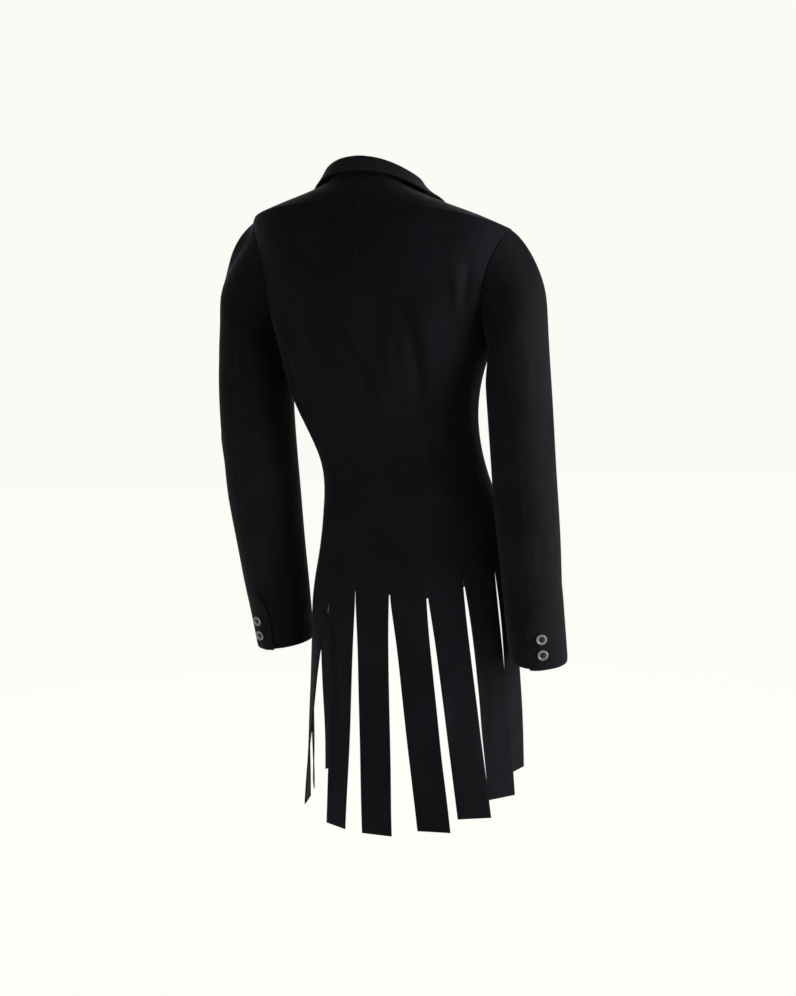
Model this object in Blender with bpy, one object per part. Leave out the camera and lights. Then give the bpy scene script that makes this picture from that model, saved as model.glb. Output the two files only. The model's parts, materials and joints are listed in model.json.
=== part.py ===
"""Hollow blazer, filled out as worn: fitted body, two-piece sleeves, turned-down collar and a skirt of strips.

The front faces -Y, the wearer's left is +X and +Z is up. The origin lies on the body's axis at the height
of the shoulders. Every cloth piece is a wall worked out from one section table and a few curves on it.
"""

import math
from collections import namedtuple

import bpy
import numpy as np

# Cloth and seams
WALL = 0.0020
SEAM_GAP = 0.0003
STEP = 1e-4

# Body heights, measured down the side from the shoulders
HIP = -0.571
UNDERARM = -0.212
SHOULDER_TIP = -0.038
NECK = 0.010

# Armhole, as an upright oval in angle and height round the side
ARMHOLE_CENTRE = math.radians(91)
ARMHOLE_BACK = math.radians(31)
ARMHOLE_FRONT = math.radians(33)
SEAM_JUNCTION = -0.125

# Skirt: the slit tops rise from the second strip to the side seam, and the whole hem sways
STRIP_WIDTH = 0.054
STRIP_NARROWS = 0.10
SLIT_TRIM = 0.0005
HIP_RISE = 0.024
HEM_SWAY = (-0.014, -0.018, 0.0)
STRIP_ROWS = 8
STRIP_CELLS = 3
BACK_COLUMNS = 6
FRONT_COLUMNS = 9
FRONT_DROP = 0.014
STRIPS_A_SIDE = 5

# Fronts and lapels
OVERLAP = 0.024
BREAK_POINT = -0.352
FRONT_HEM = -0.600
FRONT_RISE = 0.0062
RISE_STARTS = 0.062
RISE_RUN = 0.030
RISE_ENDS = -0.182
RISE_FADE = 0.060
ROLL_AT_NECK = 0.058
LAPEL_TIP_HEIGHT = -0.072
GORGE_HEIGHT = -0.006
LAPEL_WIDTH = 0.078
LAPEL_START = 0.006
LAPEL_FOOT = 0.004
LAPEL_BELLY = 0.35
LAPEL_CLEAR = 0.0030
LAPEL_ROLL = 0.0040
LAPEL_ROWS = 11
LAPEL_COLUMNS = 5

# Collar
ROLL_RADIUS = 0.0042
ROLL_END = math.radians(25)
COLLAR_COLUMNS = 24
CollarRow = namedtuple("CollarRow", "angle stand drop clear lead")
COLLAR = (
    CollarRow(0, 0.0170, 0.0060, 0.0105, 0.000),
    CollarRow(45, 0.0175, 0.0080, 0.0080, 0.000),
    CollarRow(75, 0.0165, 0.0105, 0.0060, 0.000),
    CollarRow(100, 0.0140, 0.0150, 0.0085, 0.012),
    CollarRow(112, 0.0120, 0.0200, 0.0105, 0.020),
)

# Buttons
CUFF_BUTTON = 0.0150
CUFF_BUTTON_THICKNESS = 0.0030
CUFF_BUTTON_HEIGHTS = (0.049, 0.025)
CUFF_BUTTON_INSET = 0.010
FRONT_BUTTON = 0.0200
FRONT_BUTTON_THICKNESS = 0.0036
FRONT_BUTTON_HEIGHTS = (-0.368, -0.462)
BUTTON_SEAT = 0.0004

Section = namedtuple("Section", "height back front half_width back_depth front_depth shift_y shift_x tilt fullness")
SECTIONS = (
    Section(-0.625, -0.625, -0.625, 0.167, 0.130, 0.116, -0.058, -0.015, -0.160, 2.20),
    Section(-0.571, -0.571, -0.571, 0.157, 0.120, 0.112, -0.054, -0.014, -0.160, 2.20),
    Section(-0.530, -0.530, -0.530, 0.151, 0.112, 0.108, -0.050, -0.015, -0.140, 2.20),
    Section(-0.480, -0.480, -0.480, 0.140, 0.101, 0.100, -0.044, -0.017, -0.110, 2.20),
    Section(-0.430, -0.430, -0.430, 0.127, 0.092, 0.094, -0.036, -0.014, -0.070, 2.20),
    Section(-0.380, -0.380, -0.380, 0.120, 0.088, 0.096, -0.028, -0.009, -0.030, 2.20),
    Section(-0.330, -0.330, -0.330, 0.127, 0.093, 0.104, -0.018, 0.002, 0.005, 2.25),
    Section(-0.290, -0.290, -0.290, 0.137, 0.101, 0.112, -0.010, 0.009, 0.030, 2.30),
    Section(-0.250, -0.250, -0.250, 0.145, 0.109, 0.117, -0.004, 0.008, 0.045, 2.35),
    Section(-0.212, -0.212, -0.212, 0.156, 0.114, 0.118, 0.000, 0.005, 0.060, 2.40),
    Section(-0.170, -0.168, -0.172, 0.169, 0.116, 0.115, 0.002, 0.003, 0.080, 2.40),
    Section(-0.130, -0.124, -0.142, 0.180, 0.115, 0.110, 0.004, 0.002, 0.095, 2.35),
    Section(-0.095, -0.084, -0.120, 0.188, 0.111, 0.104, 0.006, 0.002, 0.105, 2.30),
    Section(-0.070, -0.052, -0.106, 0.193, 0.105, 0.099, 0.008, 0.002, 0.110, 2.20),
    Section(-0.052, -0.032, -0.098, 0.196, 0.099, 0.096, 0.009, 0.002, 0.110, 2.15),
    Section(-0.038, -0.018, -0.093, 0.193, 0.094, 0.093, 0.010, 0.002, 0.110, 2.10),
    Section(-0.025, -0.003, -0.088, 0.160, 0.086, 0.090, 0.010, 0.002, 0.110, 2.05),
    Section(-0.011, 0.010, -0.082, 0.120, 0.076, 0.086, 0.010, 0.005, 0.105, 2.00),
    Section(0.001, 0.020, -0.077, 0.088, 0.067, 0.082, 0.010, 0.009, 0.100, 2.00),
    Section(0.010, 0.029, -0.072, 0.068, 0.060, 0.078, 0.010, 0.011, 0.095, 2.00),
)

# Largest folds of the body: each runs between two points given by angle in degrees and height
FOLD_RADIUS = 0.13
Fold = namedtuple("Fold", "angle_from height_from angle_to height_to half_width depth")
FOLDS = (
    Fold(14, -0.150, 9, -0.300, 0.012, -0.0035),
    Fold(-10, -0.140, -24, -0.350, 0.012, -0.0040),
    Fold(-38, -0.090, -34, -0.190, 0.010, 0.0030),
    Fold(44, -0.130, 62, -0.330, 0.013, 0.0040),
    Fold(4, -0.180, 4, -0.260, 0.010, 0.0025),
    Fold(6, -0.455, -16, -0.530, 0.012, -0.0025),
    Fold(70, -0.395, 20, -0.430, 0.013, -0.0030),
    Fold(-70, -0.375, -25, -0.405, 0.013, -0.0030),
    Fold(132, -0.350, 160, -0.390, 0.014, 0.0030),
    Fold(-132, -0.350, -160, -0.390, 0.014, 0.0030),
)

# Strips from the centre back outwards on each side: how each hangs at its lower end
Strip = namedtuple("Strip", "side order drop out along turn bow")
STRIPS = (
    Strip(-1, 1, 0.336, 0.030, 0.017, 3, 0.002),
    Strip(-1, 2, 0.330, 0.026, 0.013, -3, 0.003),
    Strip(-1, 3, 0.318, 0.020, -0.006, -8, 0.006),
    Strip(-1, 4, 0.300, -0.004, -0.010, -5, 0.004),
    Strip(-1, 5, 0.284, -0.016, -0.004, 4, -0.004),
    Strip(1, 1, 0.336, 0.030, 0.009, -3, 0.002),
    Strip(1, 2, 0.328, 0.028, 0.023, -12, -0.002),
    Strip(1, 3, 0.302, 0.036, 0.032, -30, 0.003),
    Strip(1, 4, 0.298, 0.030, 0.026, 5, 0.002),
    Strip(1, 5, 0.288, 0.026, 0.022, -4, -0.002),
)

# Sleeve rings from the upper arm to the cuff; back_turn is how far the back of the ring turns outwards
Ring = namedtuple("Ring", "x y z half_depth half_width back_turn tilt pitch")
RINGS = (
    Ring(0.1910, 0.004, -0.205, 0.074, 0.0425, 4, 0.060, 0.000),
    Ring(0.1940, 0.004, -0.290, 0.070, 0.0445, 10, 0.020, 0.000),
    Ring(0.1965, 0.000, -0.360, 0.067, 0.0450, 14, 0.000, 0.004),
    Ring(0.1985, -0.010, -0.440, 0.063, 0.0445, 16, 0.000, 0.008),
    Ring(0.2000, -0.028, -0.520, 0.058, 0.0430, 16, 0.000, 0.010),
    Ring(0.2010, -0.046, -0.590, 0.053, 0.0420, 16, 0.000, 0.010),
    Ring(0.2020, -0.062, -0.655, 0.049, 0.0415, 16, 0.000, 0.008),
)
# The shoulders lean: how each sleeve shifts sideways and up, at the upper arm and the cuff, and swells between
Arm = namedtuple("Arm", "shoulder_x shoulder_z cuff_x cuff_y cuff_z swell head")
ARMS = {
    1: Arm(0.014, 0.014, -0.002, 0.000, 0.000, 0.0052, 1.30),
    -1: Arm(-0.002, -0.018, -0.011, 0.060, -0.012, 0.0016, 0.75),
}

HIND_SEAM = math.radians(97)
FORE_SEAM = math.radians(236)
VENT_LENGTH = 0.100
VENT_LAP = 0.010
VENT_LIFT = 0.0041
VENT_LIFTS_IN = 0.012
LAP_STARTS = 0.016
LAP_RUNS_IN = 0.010

# How the sleeve leaves the armhole, in degrees from the body's surface, and how far it falls at once
SLEEVE_RISE_TOP = 12
SLEEVE_RISE_UNDER = 118
SLEEVE_FALL = 0.55

# Largest folds of the sleeves, by turn in degrees and ring; side 0 is both sleeves
SleeveFold = namedtuple("SleeveFold", "side turn station slant depth spread reach")
SLEEVE_FOLDS = (
    SleeveFold(0, 110, 1.70, 0.25, 0.0030, 0.16, 50),
    SleeveFold(0, 80, 2.35, -0.20, -0.0028, 0.14, 45),
    SleeveFold(-1, 60, 2.90, 0.20, 0.0026, 0.13, 42),
    SleeveFold(0, 290, 2.60, 0.30, -0.0030, 0.18, 40),
)

Finish = namedtuple("Finish", "name colour roughness")
FINISHES = (
    Finish("wool_body", (0.0062, 0.0058, 0.0075, 1.0), 0.82),
    Finish("wool_side", (0.0066, 0.0060, 0.0078, 1.0), 0.82),
    Finish("wool_front", (0.0060, 0.0056, 0.0072, 1.0), 0.82),
    Finish("wool_lapel", (0.0068, 0.0063, 0.0080, 1.0), 0.80),
    Finish("wool_collar", (0.0070, 0.0064, 0.0082, 1.0), 0.80),
    Finish("wool_top_sleeve", (0.0064, 0.0059, 0.0076, 1.0), 0.82),
    Finish("wool_under_sleeve", (0.0058, 0.0054, 0.0070, 1.0), 0.84),
    Finish("button_gloss", (0.0100, 0.0095, 0.0110, 1.0), 0.22),
)


def material_of(name):
    """Principled material for one finish of the table."""
    found = bpy.data.materials.get(name)
    if found:
        return found
    finish = next(row for row in FINISHES if row.name == name)
    made = bpy.data.materials.new(name)
    made.use_nodes = True
    shader = made.node_tree.nodes["Principled BSDF"]
    shader.inputs["Base Color"].default_value = finish.colour
    shader.inputs["Roughness"].default_value = finish.roughness
    shader.inputs["Metallic"].default_value = 0.0
    return made


def add_object(name, points, faces, finish):
    """Mesh object at the origin, shaded smooth apart from its rims."""
    mesh = bpy.data.meshes.new(name)
    mesh.from_pydata([tuple(p) for p in points], [], faces)
    mesh.validate()
    mesh.shade_smooth()
    mesh.set_sharp_from_angle(angle=math.radians(50))
    mesh.materials.append(material_of(finish))
    made = bpy.data.objects.new(name, mesh)
    bpy.context.scene.collection.objects.link(made)
    return made


def clear_scene():
    """Removes every object."""
    for old in list(bpy.data.objects):
        bpy.data.objects.remove(old, do_unlink=True)


def unit(vector):
    """The vector at length one."""
    return vector / np.linalg.norm(vector)


def mix(first, second, share):
    """The value that lies the given share of the way from first to second."""
    return first + (second - first) * share


def ease(value):
    """Smooth rise from 0 at 0 to 1 at 1."""
    value = min(max(value, 0.0), 1.0)
    return value * value * (3 - 2 * value)


def smooth_row(rows, stations, at):
    """Row of numbers at a station, on a smooth curve through the rows of a table."""
    last = len(stations) - 1
    k = int(np.clip(np.searchsorted(stations, at) - 1, 0, last - 1))
    span = stations[k + 1] - stations[k]
    s = (at - stations[k]) / span
    before, after = max(k - 1, 0), min(k + 2, last)
    slope_0 = (rows[k + 1] - rows[before]) / (stations[k + 1] - stations[before])
    slope_1 = (rows[after] - rows[k]) / (stations[after] - stations[k])
    return (
        rows[k] * (2 * s**3 - 3 * s**2 + 1)
        + rows[k + 1] * (3 * s**2 - 2 * s**3)
        + slope_0 * span * (s**3 - 2 * s**2 + s)
        + slope_1 * span * (s**3 - s**2)
    )


SECTION_ROWS = np.array([row[1:] for row in SECTIONS])
SECTION_HEIGHTS = np.array([row.height for row in SECTIONS])


def bare_body(angle, height):
    """Point of the body without folds; the angle runs from the centre back towards the wearer's left."""
    row = smooth_row(SECTION_ROWS, SECTION_HEIGHTS, height)
    back, front, half_width, back_depth, front_depth, shift_y, shift_x, tilt, fullness = row
    sine, cosine = math.sin(angle), math.cos(angle)
    swell = (abs(sine) ** fullness + abs(cosine) ** fullness) ** (-1 / fullness)
    depth = back_depth if cosine > 0 else front_depth
    level = back if cosine > 0 else front
    across = half_width * swell * sine
    return np.array((
        shift_x + across,
        shift_y + depth * swell * cosine,
        mix(height, level, cosine * cosine) + tilt * across,
    ))


def bare_normal(angle, height):
    """Outward normal of the body without folds."""
    height = min(height, NECK - STEP)
    across = bare_body(angle + STEP, height) - bare_body(angle - STEP, height)
    up = bare_body(angle, height + STEP) - bare_body(angle, height - STEP)
    return unit(np.cross(up, across))


def fold_lift(angle, height):
    """How far the folds move the cloth outwards at a point of the body."""
    lift = 0.0
    for fold in FOLDS:
        start = np.array((math.radians(fold.angle_from) * FOLD_RADIUS, fold.height_from))
        end = np.array((math.radians(fold.angle_to) * FOLD_RADIUS, fold.height_to))
        here = np.array((angle * FOLD_RADIUS, height))
        along = np.dot(here - start, end - start) / np.dot(end - start, end - start)
        if -0.15 < along < 1.15:
            off = np.linalg.norm(here - mix(start, end, along)) / fold.half_width
            ends = math.sin(math.pi * (along + 0.15) / 1.3)
            lift += fold.depth * math.exp(-off * off) * ends
    return lift


def body(angle, height):
    """Point of the body's outer face."""
    lift = fold_lift(angle, height)
    point = bare_body(angle, height)
    return point + lift * bare_normal(angle, height) if abs(lift) > 1e-5 else point


def body_normal(angle, height):
    """Outward normal of the body's outer face."""
    height = min(height, NECK - STEP)
    wide = 10 * STEP
    across = body(angle + wide, height) - body(angle - wide, height)
    up = body(angle, height + STEP) - body(angle, height - STEP)
    return unit(np.cross(up, across))


def gap_angle(angle, height):
    """Angle that half a seam gap takes at a point of the body."""
    per_radian = np.linalg.norm(bare_body(angle + STEP, height) - bare_body(angle, height)) / STEP
    return 0.5 * SEAM_GAP / per_radian


def angle_at_length(length):
    """Angle at which the hip ring reaches a length from the centre back."""
    angle, run = 0.0, 0.0
    step = math.radians(0.25)
    here = bare_body(0.0, HIP)
    while run < length:
        there = bare_body(angle + step, HIP)
        run += np.linalg.norm(there - here)
        angle, here = angle + step, there
    return angle


SLITS = [angle_at_length(k * STRIP_WIDTH) for k in range(STRIPS_A_SIDE + 1)]


def hip_line(angle):
    """Height of the slit tops."""
    return HIP + HIP_RISE * max(0.0, angle - SLITS[1]) / (SLITS[-1] - SLITS[1])


def armhole(turn):
    """Angle and height of the armhole; the turn runs from the shoulder down the back, under and up the front."""
    middle = 0.5 * (UNDERARM + SHOULDER_TIP)
    reach = 0.5 * (SHOULDER_TIP - UNDERARM)
    width = ARMHOLE_BACK if math.sin(turn) > 0 else ARMHOLE_FRONT
    centre = mix(ARMHOLE_CENTRE, math.pi / 2, 0.5 * (1 + math.cos(turn)))
    return centre - width * math.sin(turn), middle + reach * math.cos(turn)


def armhole_turn(height):
    """Turn from the shoulder at which the armhole passes a height."""
    middle = 0.5 * (UNDERARM + SHOULDER_TIP)
    reach = 0.5 * (SHOULDER_TIP - UNDERARM)
    return math.acos(max(-1.0, min(1.0, (height - middle) / reach)))


def princess(height):
    """Angle of the curved seam from the first slit up to the armhole."""
    top = armhole(armhole_turn(SEAM_JUNCTION))[0]
    share = max(0.0, (height - HIP) / (SEAM_JUNCTION - HIP))
    return mix(SLITS[1], top, 0.30 * share + 0.70 * share**2.2)


def side_seam(height):
    """Angle of the side seam."""
    share = min(1.0, (height - HIP) / (UNDERARM - HIP))
    return mix(SLITS[-1], ARMHOLE_CENTRE, ease(share))


def back_edge(height):
    """Outer edge of the back: princess seam, then armhole, then the shoulder seam."""
    if height <= SEAM_JUNCTION:
        return princess(height)
    if height < SHOULDER_TIP:
        return armhole(armhole_turn(height))[0]
    return math.pi / 2


def front_side_edge(height):
    """Side edge of the front: side seam, then armhole, then the shoulder seam."""
    if height <= UNDERARM:
        return side_seam(height)
    if height < SHOULDER_TIP:
        return armhole(2 * math.pi - armhole_turn(height))[0]
    return math.pi / 2


def front_edge_x(level):
    """Distance of the front edge from the centre front: plain below the break point, the roll line above it."""
    if level <= BREAK_POINT:
        return -OVERLAP
    return mix(-OVERLAP, ROLL_AT_NECK, (level - BREAK_POINT) / (NECK - BREAK_POINT))


def front_angle(x, height):
    """Angle on the front of the body at which its point lies x to the side."""
    half_width = smooth_row(SECTION_ROWS, SECTION_HEIGHTS, height)[2]
    return math.pi - math.asin(x / half_width)


def front_edge(height):
    """Angle of the front edge."""
    return front_angle(front_edge_x(height), height)


def grid_wall(name, outer, normals, finish, skip=(), closed=False):
    """Wall from a grid of outer points and normals, with quads left out where skip holds their rows and columns."""
    outer = np.asarray(outer)
    inner = outer - WALL * np.asarray(normals)
    rows, columns = outer.shape[:2]
    count = rows * columns
    points = np.concatenate([outer.reshape(-1, 3), inner.reshape(-1, 3)])
    faces, edges = [], {}
    for r in range(rows - 1):
        for c in range(columns - (0 if closed else 1)):
            if (r, c) in skip:
                continue
            d = (c + 1) % columns
            quad = (r * columns + c, r * columns + d, (r + 1) * columns + d, (r + 1) * columns + c)
            faces.append(quad)
            faces.append(tuple(count + k for k in reversed(quad)))
            for a, b in zip(quad, quad[1:] + quad[:1]):
                if (b, a) in edges:
                    del edges[(b, a)]
                else:
                    edges[(a, b)] = True
    faces += [(b, a, count + a, count + b) for a, b in edges]
    first = next(face for face in faces if face[0] < count)
    facing = np.cross(points[first[1]] - points[first[0]], points[first[2]] - points[first[1]])
    if np.dot(facing, np.asarray(normals).reshape(-1, 3)[first[0]]) < 0:
        faces = [tuple(reversed(face)) for face in faces]
    return add_object(name, points, faces, finish)


def spaced(first, last, count):
    """Evenly spaced values, without the last one."""
    return list(np.linspace(first, last, count, endpoint=False))


# Body rows: shares of the way up to the armhole, then the armhole's own stations, then the shoulder seam
LOWER_SHARES = [k / 12 for k in range(13)]
SHOULDER_HEIGHTS = spaced(SHOULDER_TIP, NECK, 4) + [NECK]
BACK_TURNS = [mix(armhole_turn(SEAM_JUNCTION), 0.0, ease(k / 7) ** 0.7) for k in range(8)]
FRONT_TURNS = [mix(math.pi, 2 * math.pi, k / 13) for k in range(14)]


def side_columns():
    """Order and place across of each column of the side: three cells a strip, with the slits between them."""
    slit = SLIT_TRIM / STRIP_WIDTH
    return [
        (order, mix(slit - 0.5, 0.5 - slit, c / STRIP_CELLS))
        for order in range(2, STRIPS_A_SIDE + 1)
        for c in range(STRIP_CELLS + 1)
    ]


def foot_angle(order, across):
    """Angle of a strip's column at the hip."""
    return mix(SLITS[order - 1], SLITS[order], across + 0.5)


def column_share(order, across):
    """Share of the way from the princess seam to the side seam."""
    return (foot_angle(order, across) - SLITS[1]) / (SLITS[-1] - SLITS[1])


SIDE_TURNS = [mix(armhole_turn(SEAM_JUNCTION), math.pi, column_share(k, across)) for k, across in side_columns()]
ARMHOLE_TURNS = sorted(BACK_TURNS[:-1] + SIDE_TURNS + FRONT_TURNS + [0.0])


def strip_point(strip, across, down):
    """Point of a strip; across runs from -0.5 to 0.5 away from the centre back, down from 0 to 1 at the hem."""
    foot = foot_angle(strip.order, across)
    middle = foot_angle(strip.order, 0.0)
    top = body(strip.side * foot, hip_line(foot))
    centre = body(strip.side * middle, hip_line(middle))
    outward = unit(body_normal(strip.side * middle, HIP) * (1, 1, 0))
    along = strip.side * np.array((outward[1], -outward[0], 0.0))
    turn = math.radians(strip.turn)
    bottom = centre + strip.out * outward + strip.along * along + HEM_SWAY - np.array((0, 0, strip.drop))
    bottom = bottom + across * STRIP_WIDTH * (math.cos(turn) * along + math.sin(turn) * outward)
    narrower = across * STRIP_WIDTH * STRIP_NARROWS * ease(5 * down) * along
    return mix(top, bottom, down) - narrower + strip.bow * math.sin(math.pi * down) * outward


def strip_normal(strip, across, down):
    """Outward normal of a strip, which starts as the body's own at the slit tops."""
    wide = 0.01
    side = strip_point(strip, across + wide, down) - strip_point(strip, across - wide, down)
    fall = strip_point(strip, across, down + wide) - strip_point(strip, across, down - wide)
    own = unit(np.cross(side, fall)) * strip.side
    foot = foot_angle(strip.order, across)
    start = body_normal(strip.side * foot, hip_line(foot))
    return unit(mix(start, own, ease(4 * down)))


def strip_of(side, order):
    """Row of the strip table."""
    return next(row for row in STRIPS if row.side == side and row.order == order)


def strip_rows(side, columns):
    """Points and normals of the rows below the slit tops, hem first, for columns of (order, across)."""
    points, normals = [], []
    for r in range(STRIP_ROWS):
        down = 1 - r / STRIP_ROWS
        points.append([strip_point(strip_of(side, k), across, down) for k, across in columns])
        normals.append([strip_normal(strip_of(side, k), across, down) for k, across in columns])
    return points, normals


def body_rows(side, rows):
    """Points and normals for rows of (angle, height)."""
    points = [[body(side * angle, height) for angle, height in row] for row in rows]
    normals = [[body_normal(side * angle, height) for angle, height in row] for row in rows]
    return points, normals


def build_back(side, name):
    """Half of the back with the strip next to the centre back."""
    shares = [c / BACK_COLUMNS for c in range(BACK_COLUMNS + 1)]
    heights = [mix(HIP, SEAM_JUNCTION, share) for share in LOWER_SHARES]
    heights += [armhole(turn)[1] for turn in BACK_TURNS[1:-1]] + SHOULDER_HEIGHTS
    rows = []
    for height in heights:
        edge = back_edge(height)
        inside = gap_angle(0.0, height)
        outside = edge - gap_angle(side * edge, height)
        rows.append([(mix(inside, outside, u), height) for u in shares])
    trim = 0.5 * SEAM_GAP / STRIP_WIDTH
    below = strip_rows(side, [(1, mix(trim - 0.5, 0.5 - trim, u)) for u in shares])
    above = body_rows(side, rows)
    grid_wall(name, below[0] + above[0], below[1] + above[1], "wool_body")


def build_side(side, name):
    """Side of the back, from the princess seam to the side seam, with its four strips."""
    columns = side_columns()
    rows = []
    for share in LOWER_SHARES:
        row = []
        for (order, across), turn in zip(columns, SIDE_TURNS):
            foot, low = foot_angle(order, across), column_share(order, across)
            top_angle, top_height = armhole(turn)
            here = mix(hip_line(foot), top_height, share)
            left, right = princess(here), side_seam(here)
            high = (top_angle - princess(top_height)) / (side_seam(top_height) - princess(top_height))
            angle = mix(left, right, mix(low, high, share**2))
            trim = gap_angle(side * angle, here)
            row.append((min(max(angle, left + trim), right - trim), here))
        rows.append(row)
    gaps = [c for c in range(len(columns) - 1) if columns[c][0] != columns[c + 1][0]]
    skip = {(r, c) for r in range(STRIP_ROWS) for c in gaps}
    below = strip_rows(side, columns)
    above = body_rows(side, rows)
    grid_wall(name, below[0] + above[0], below[1] + above[1], "wool_side", skip=skip)


def front_rise(side, angle, height):
    """How far the upper front stands off the lower one where they overlap."""
    if side > 0:
        return 0.0
    x = math.sin(angle) * smooth_row(SECTION_ROWS, SECTION_HEIGHTS, height)[2]
    return FRONT_RISE * ease((RISE_STARTS - x) / RISE_RUN) * ease((RISE_ENDS - height) / RISE_FADE)


def front_point(side, angle, height):
    """Point of a front's outer face."""
    return body(side * angle, height) + front_rise(side, angle, height) * body_normal(side * angle, height)


def build_front(side, name):
    """Front, with its edge on the roll line above the break point."""
    columns = [c / FRONT_COLUMNS for c in range(FRONT_COLUMNS + 1)]
    side_foot = hip_line(SLITS[-1])
    rows = [[(side_foot - FRONT_DROP) + (FRONT_HEM - side_foot + FRONT_DROP) * ease(u) for u in columns]]
    for share in LOWER_SHARES:
        foot = [mix(side_foot, FRONT_HEM + FRONT_DROP, ease(u)) for u in columns]
        rows.append([mix(low, UNDERARM, share) for low in foot])
    for height in [armhole(turn)[1] for turn in FRONT_TURNS[1:-1]] + SHOULDER_HEIGHTS:
        rows.append([height] * len(columns))
    points, normals = [], []
    for row in rows:
        first = front_side_edge(row[0])
        first += gap_angle(side * first, row[0])
        places = [(mix(first, front_edge(height), u), height) for u, height in zip(columns, row)]
        points.append([front_point(side, angle, height) for angle, height in places])
        normals.append([body_normal(side * angle, height) for angle, height in places])
    grid_wall(name, points, normals, "wool_front")


def lapel_place(u, v):
    """Angle and height on the front: u runs from the roll line to the outer edge, v from the break to the gorge."""
    low = BREAK_POINT + LAPEL_FOOT
    inner = mix(low, GORGE_HEIGHT, v)
    outer = mix(low, LAPEL_TIP_HEIGHT, v)
    height = mix(inner, outer, u)
    width = mix(LAPEL_START, LAPEL_WIDTH, v * (1 + LAPEL_BELLY * (1 - v)))
    return front_angle(front_edge_x(height) + u * width, height), height


def build_lapel(side, name):
    """Lapel, turned back from the roll line over the front."""
    points, normals = [], []
    for r in range(LAPEL_ROWS + 1):
        v = r / LAPEL_ROWS
        row, facing = [], []
        for c in range(LAPEL_COLUMNS + 1):
            u = c / LAPEL_COLUMNS
            angle, height = lapel_place(u, v)
            normal = body_normal(side * angle, height)
            roll = LAPEL_ROLL * math.sin(math.pi * u) * ease((v - 0.40) / 0.30)
            row.append(front_point(side, angle, height) + (LAPEL_CLEAR + roll) * normal)
            facing.append(normal)
        points.append(row)
        normals.append(facing)
    grid_wall(name, points, normals, "wool_lapel")


COLLAR_ROWS = np.array([row[1:] for row in COLLAR])
COLLAR_ANGLES = np.radians([row.angle for row in COLLAR])


def neck_edge(angle):
    """Point of the neck edge between the columns of the back or the front."""
    size = abs(angle)
    first, last, columns = 0.0, math.pi / 2, BACK_COLUMNS
    if size > last:
        first, last, columns = last, front_edge(NECK), FRONT_COLUMNS
    place = (size - first) / (last - first) * columns
    k = min(int(place), columns - 1)
    ends = [body(math.copysign(mix(first, last, j / columns), angle), NECK) for j in (k, k + 1)]
    return mix(ends[0], ends[1], place - k)


def collar_section(angle):
    """Points and normals across the collar: up the stand, over the roll and down the fall."""
    stand, drop, clear, lead = smooth_row(COLLAR_ROWS, COLLAR_ANGLES, abs(angle))
    edge = body(angle, NECK)
    over = unit(edge - body(angle, NECK - 10 * STEP))
    ahead = unit(body(angle + 10 * STEP, NECK) - edge)
    outward = unit(np.array((-ahead[1], ahead[0], 0.0)))
    up = np.array((0.0, 0.0, 1.0))
    base = neck_edge(angle) + SEAM_GAP * over - WALL * outward
    points = [base + stand * k / 3 * up for k in range(3)]
    for k in range(7):
        turn = mix(math.pi, ROLL_END, k / 6)
        points.append(
            base + ROLL_RADIUS * (1 + math.cos(turn)) * outward + (stand + ROLL_RADIUS * math.sin(turn)) * up
        )
    foot_angle_here = angle + math.copysign(lead / np.linalg.norm(edge[:2]), angle)
    low = NECK - drop
    foot = body(foot_angle_here, low) + clear * body_normal(foot_angle_here, low)
    start = points[-1]
    reach = np.linalg.norm(foot - start)
    bend = start + 0.45 * reach * (math.sin(ROLL_END) * outward - math.cos(ROLL_END) * up)
    for k in range(1, 5):
        s = k / 4
        points.append(start * (1 - s) ** 2 + bend * 2 * s * (1 - s) + foot * s * s)
    points = np.array(points)
    normals = [unit(np.cross(ahead, run)) for run in np.gradient(points, axis=0)]
    return points, normals


def build_collar():
    """Turned-down collar round the neck, in one folded wall."""
    end = COLLAR_ANGLES[-1]
    sections = [collar_section(mix(-end, end, k / COLLAR_COLUMNS)) for k in range(COLLAR_COLUMNS + 1)]
    grid_wall("collar", [s[0] for s in sections], [s[1] for s in sections], "wool_collar")


RING_ROWS = np.array(RINGS)
LAST_RING = len(RINGS) - 1
CUFF_RING_STEP = np.linalg.norm(RING_ROWS[-1][:3] - RING_ROWS[-2][:3])


def ring_point(side, turn, station):
    """Point of a sleeve ring; the turn runs from the outer side over the back to the body and the front."""
    x, y, z, half_depth, half_width, back_turn, tilt, pitch = smooth_row(
        RING_ROWS, np.arange(LAST_RING + 1.0), station
    )
    swing = math.radians(back_turn)
    back = np.array((math.sin(swing), math.cos(swing), 0.0))
    outer = np.array((math.cos(swing), -math.sin(swing), 0.0))
    point = np.array((x, y, z)) + half_depth * math.sin(turn) * back + half_width * math.cos(turn) * outer
    point[2] += tilt * math.cos(turn) - pitch * math.sin(turn)
    arm = ARMS[side]
    lean = ease(1 - station / LAST_RING)
    point += arm.swell * math.cos(turn) * (1 - (station / LAST_RING) ** 2) * outer
    shoulder = np.array((arm.shoulder_x, 0.0, arm.shoulder_z))
    cuff = np.array((arm.cuff_x, arm.cuff_y, arm.cuff_z))
    return point * (side, 1, 1) + mix(cuff, shoulder, lean)


def armhole_frame(side, turn):
    """Point of the armhole's edge, its normal, and the direction over the edge into the armhole."""
    turn = turn % (2 * math.pi)
    k = max(1, int(np.searchsorted(ARMHOLE_TURNS, turn)))
    first, last = ARMHOLE_TURNS[k - 1], ARMHOLE_TURNS[k]
    ends = [body(side * angle, height) for angle, height in (armhole(first), armhole(last))]
    angle, height = armhole(turn)
    normal = body_normal(side * angle, height)
    over = unit(np.cross(ends[1] - ends[0], normal)) * side
    return mix(ends[0], ends[1], (turn - first) / (last - first)), normal, over


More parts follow.
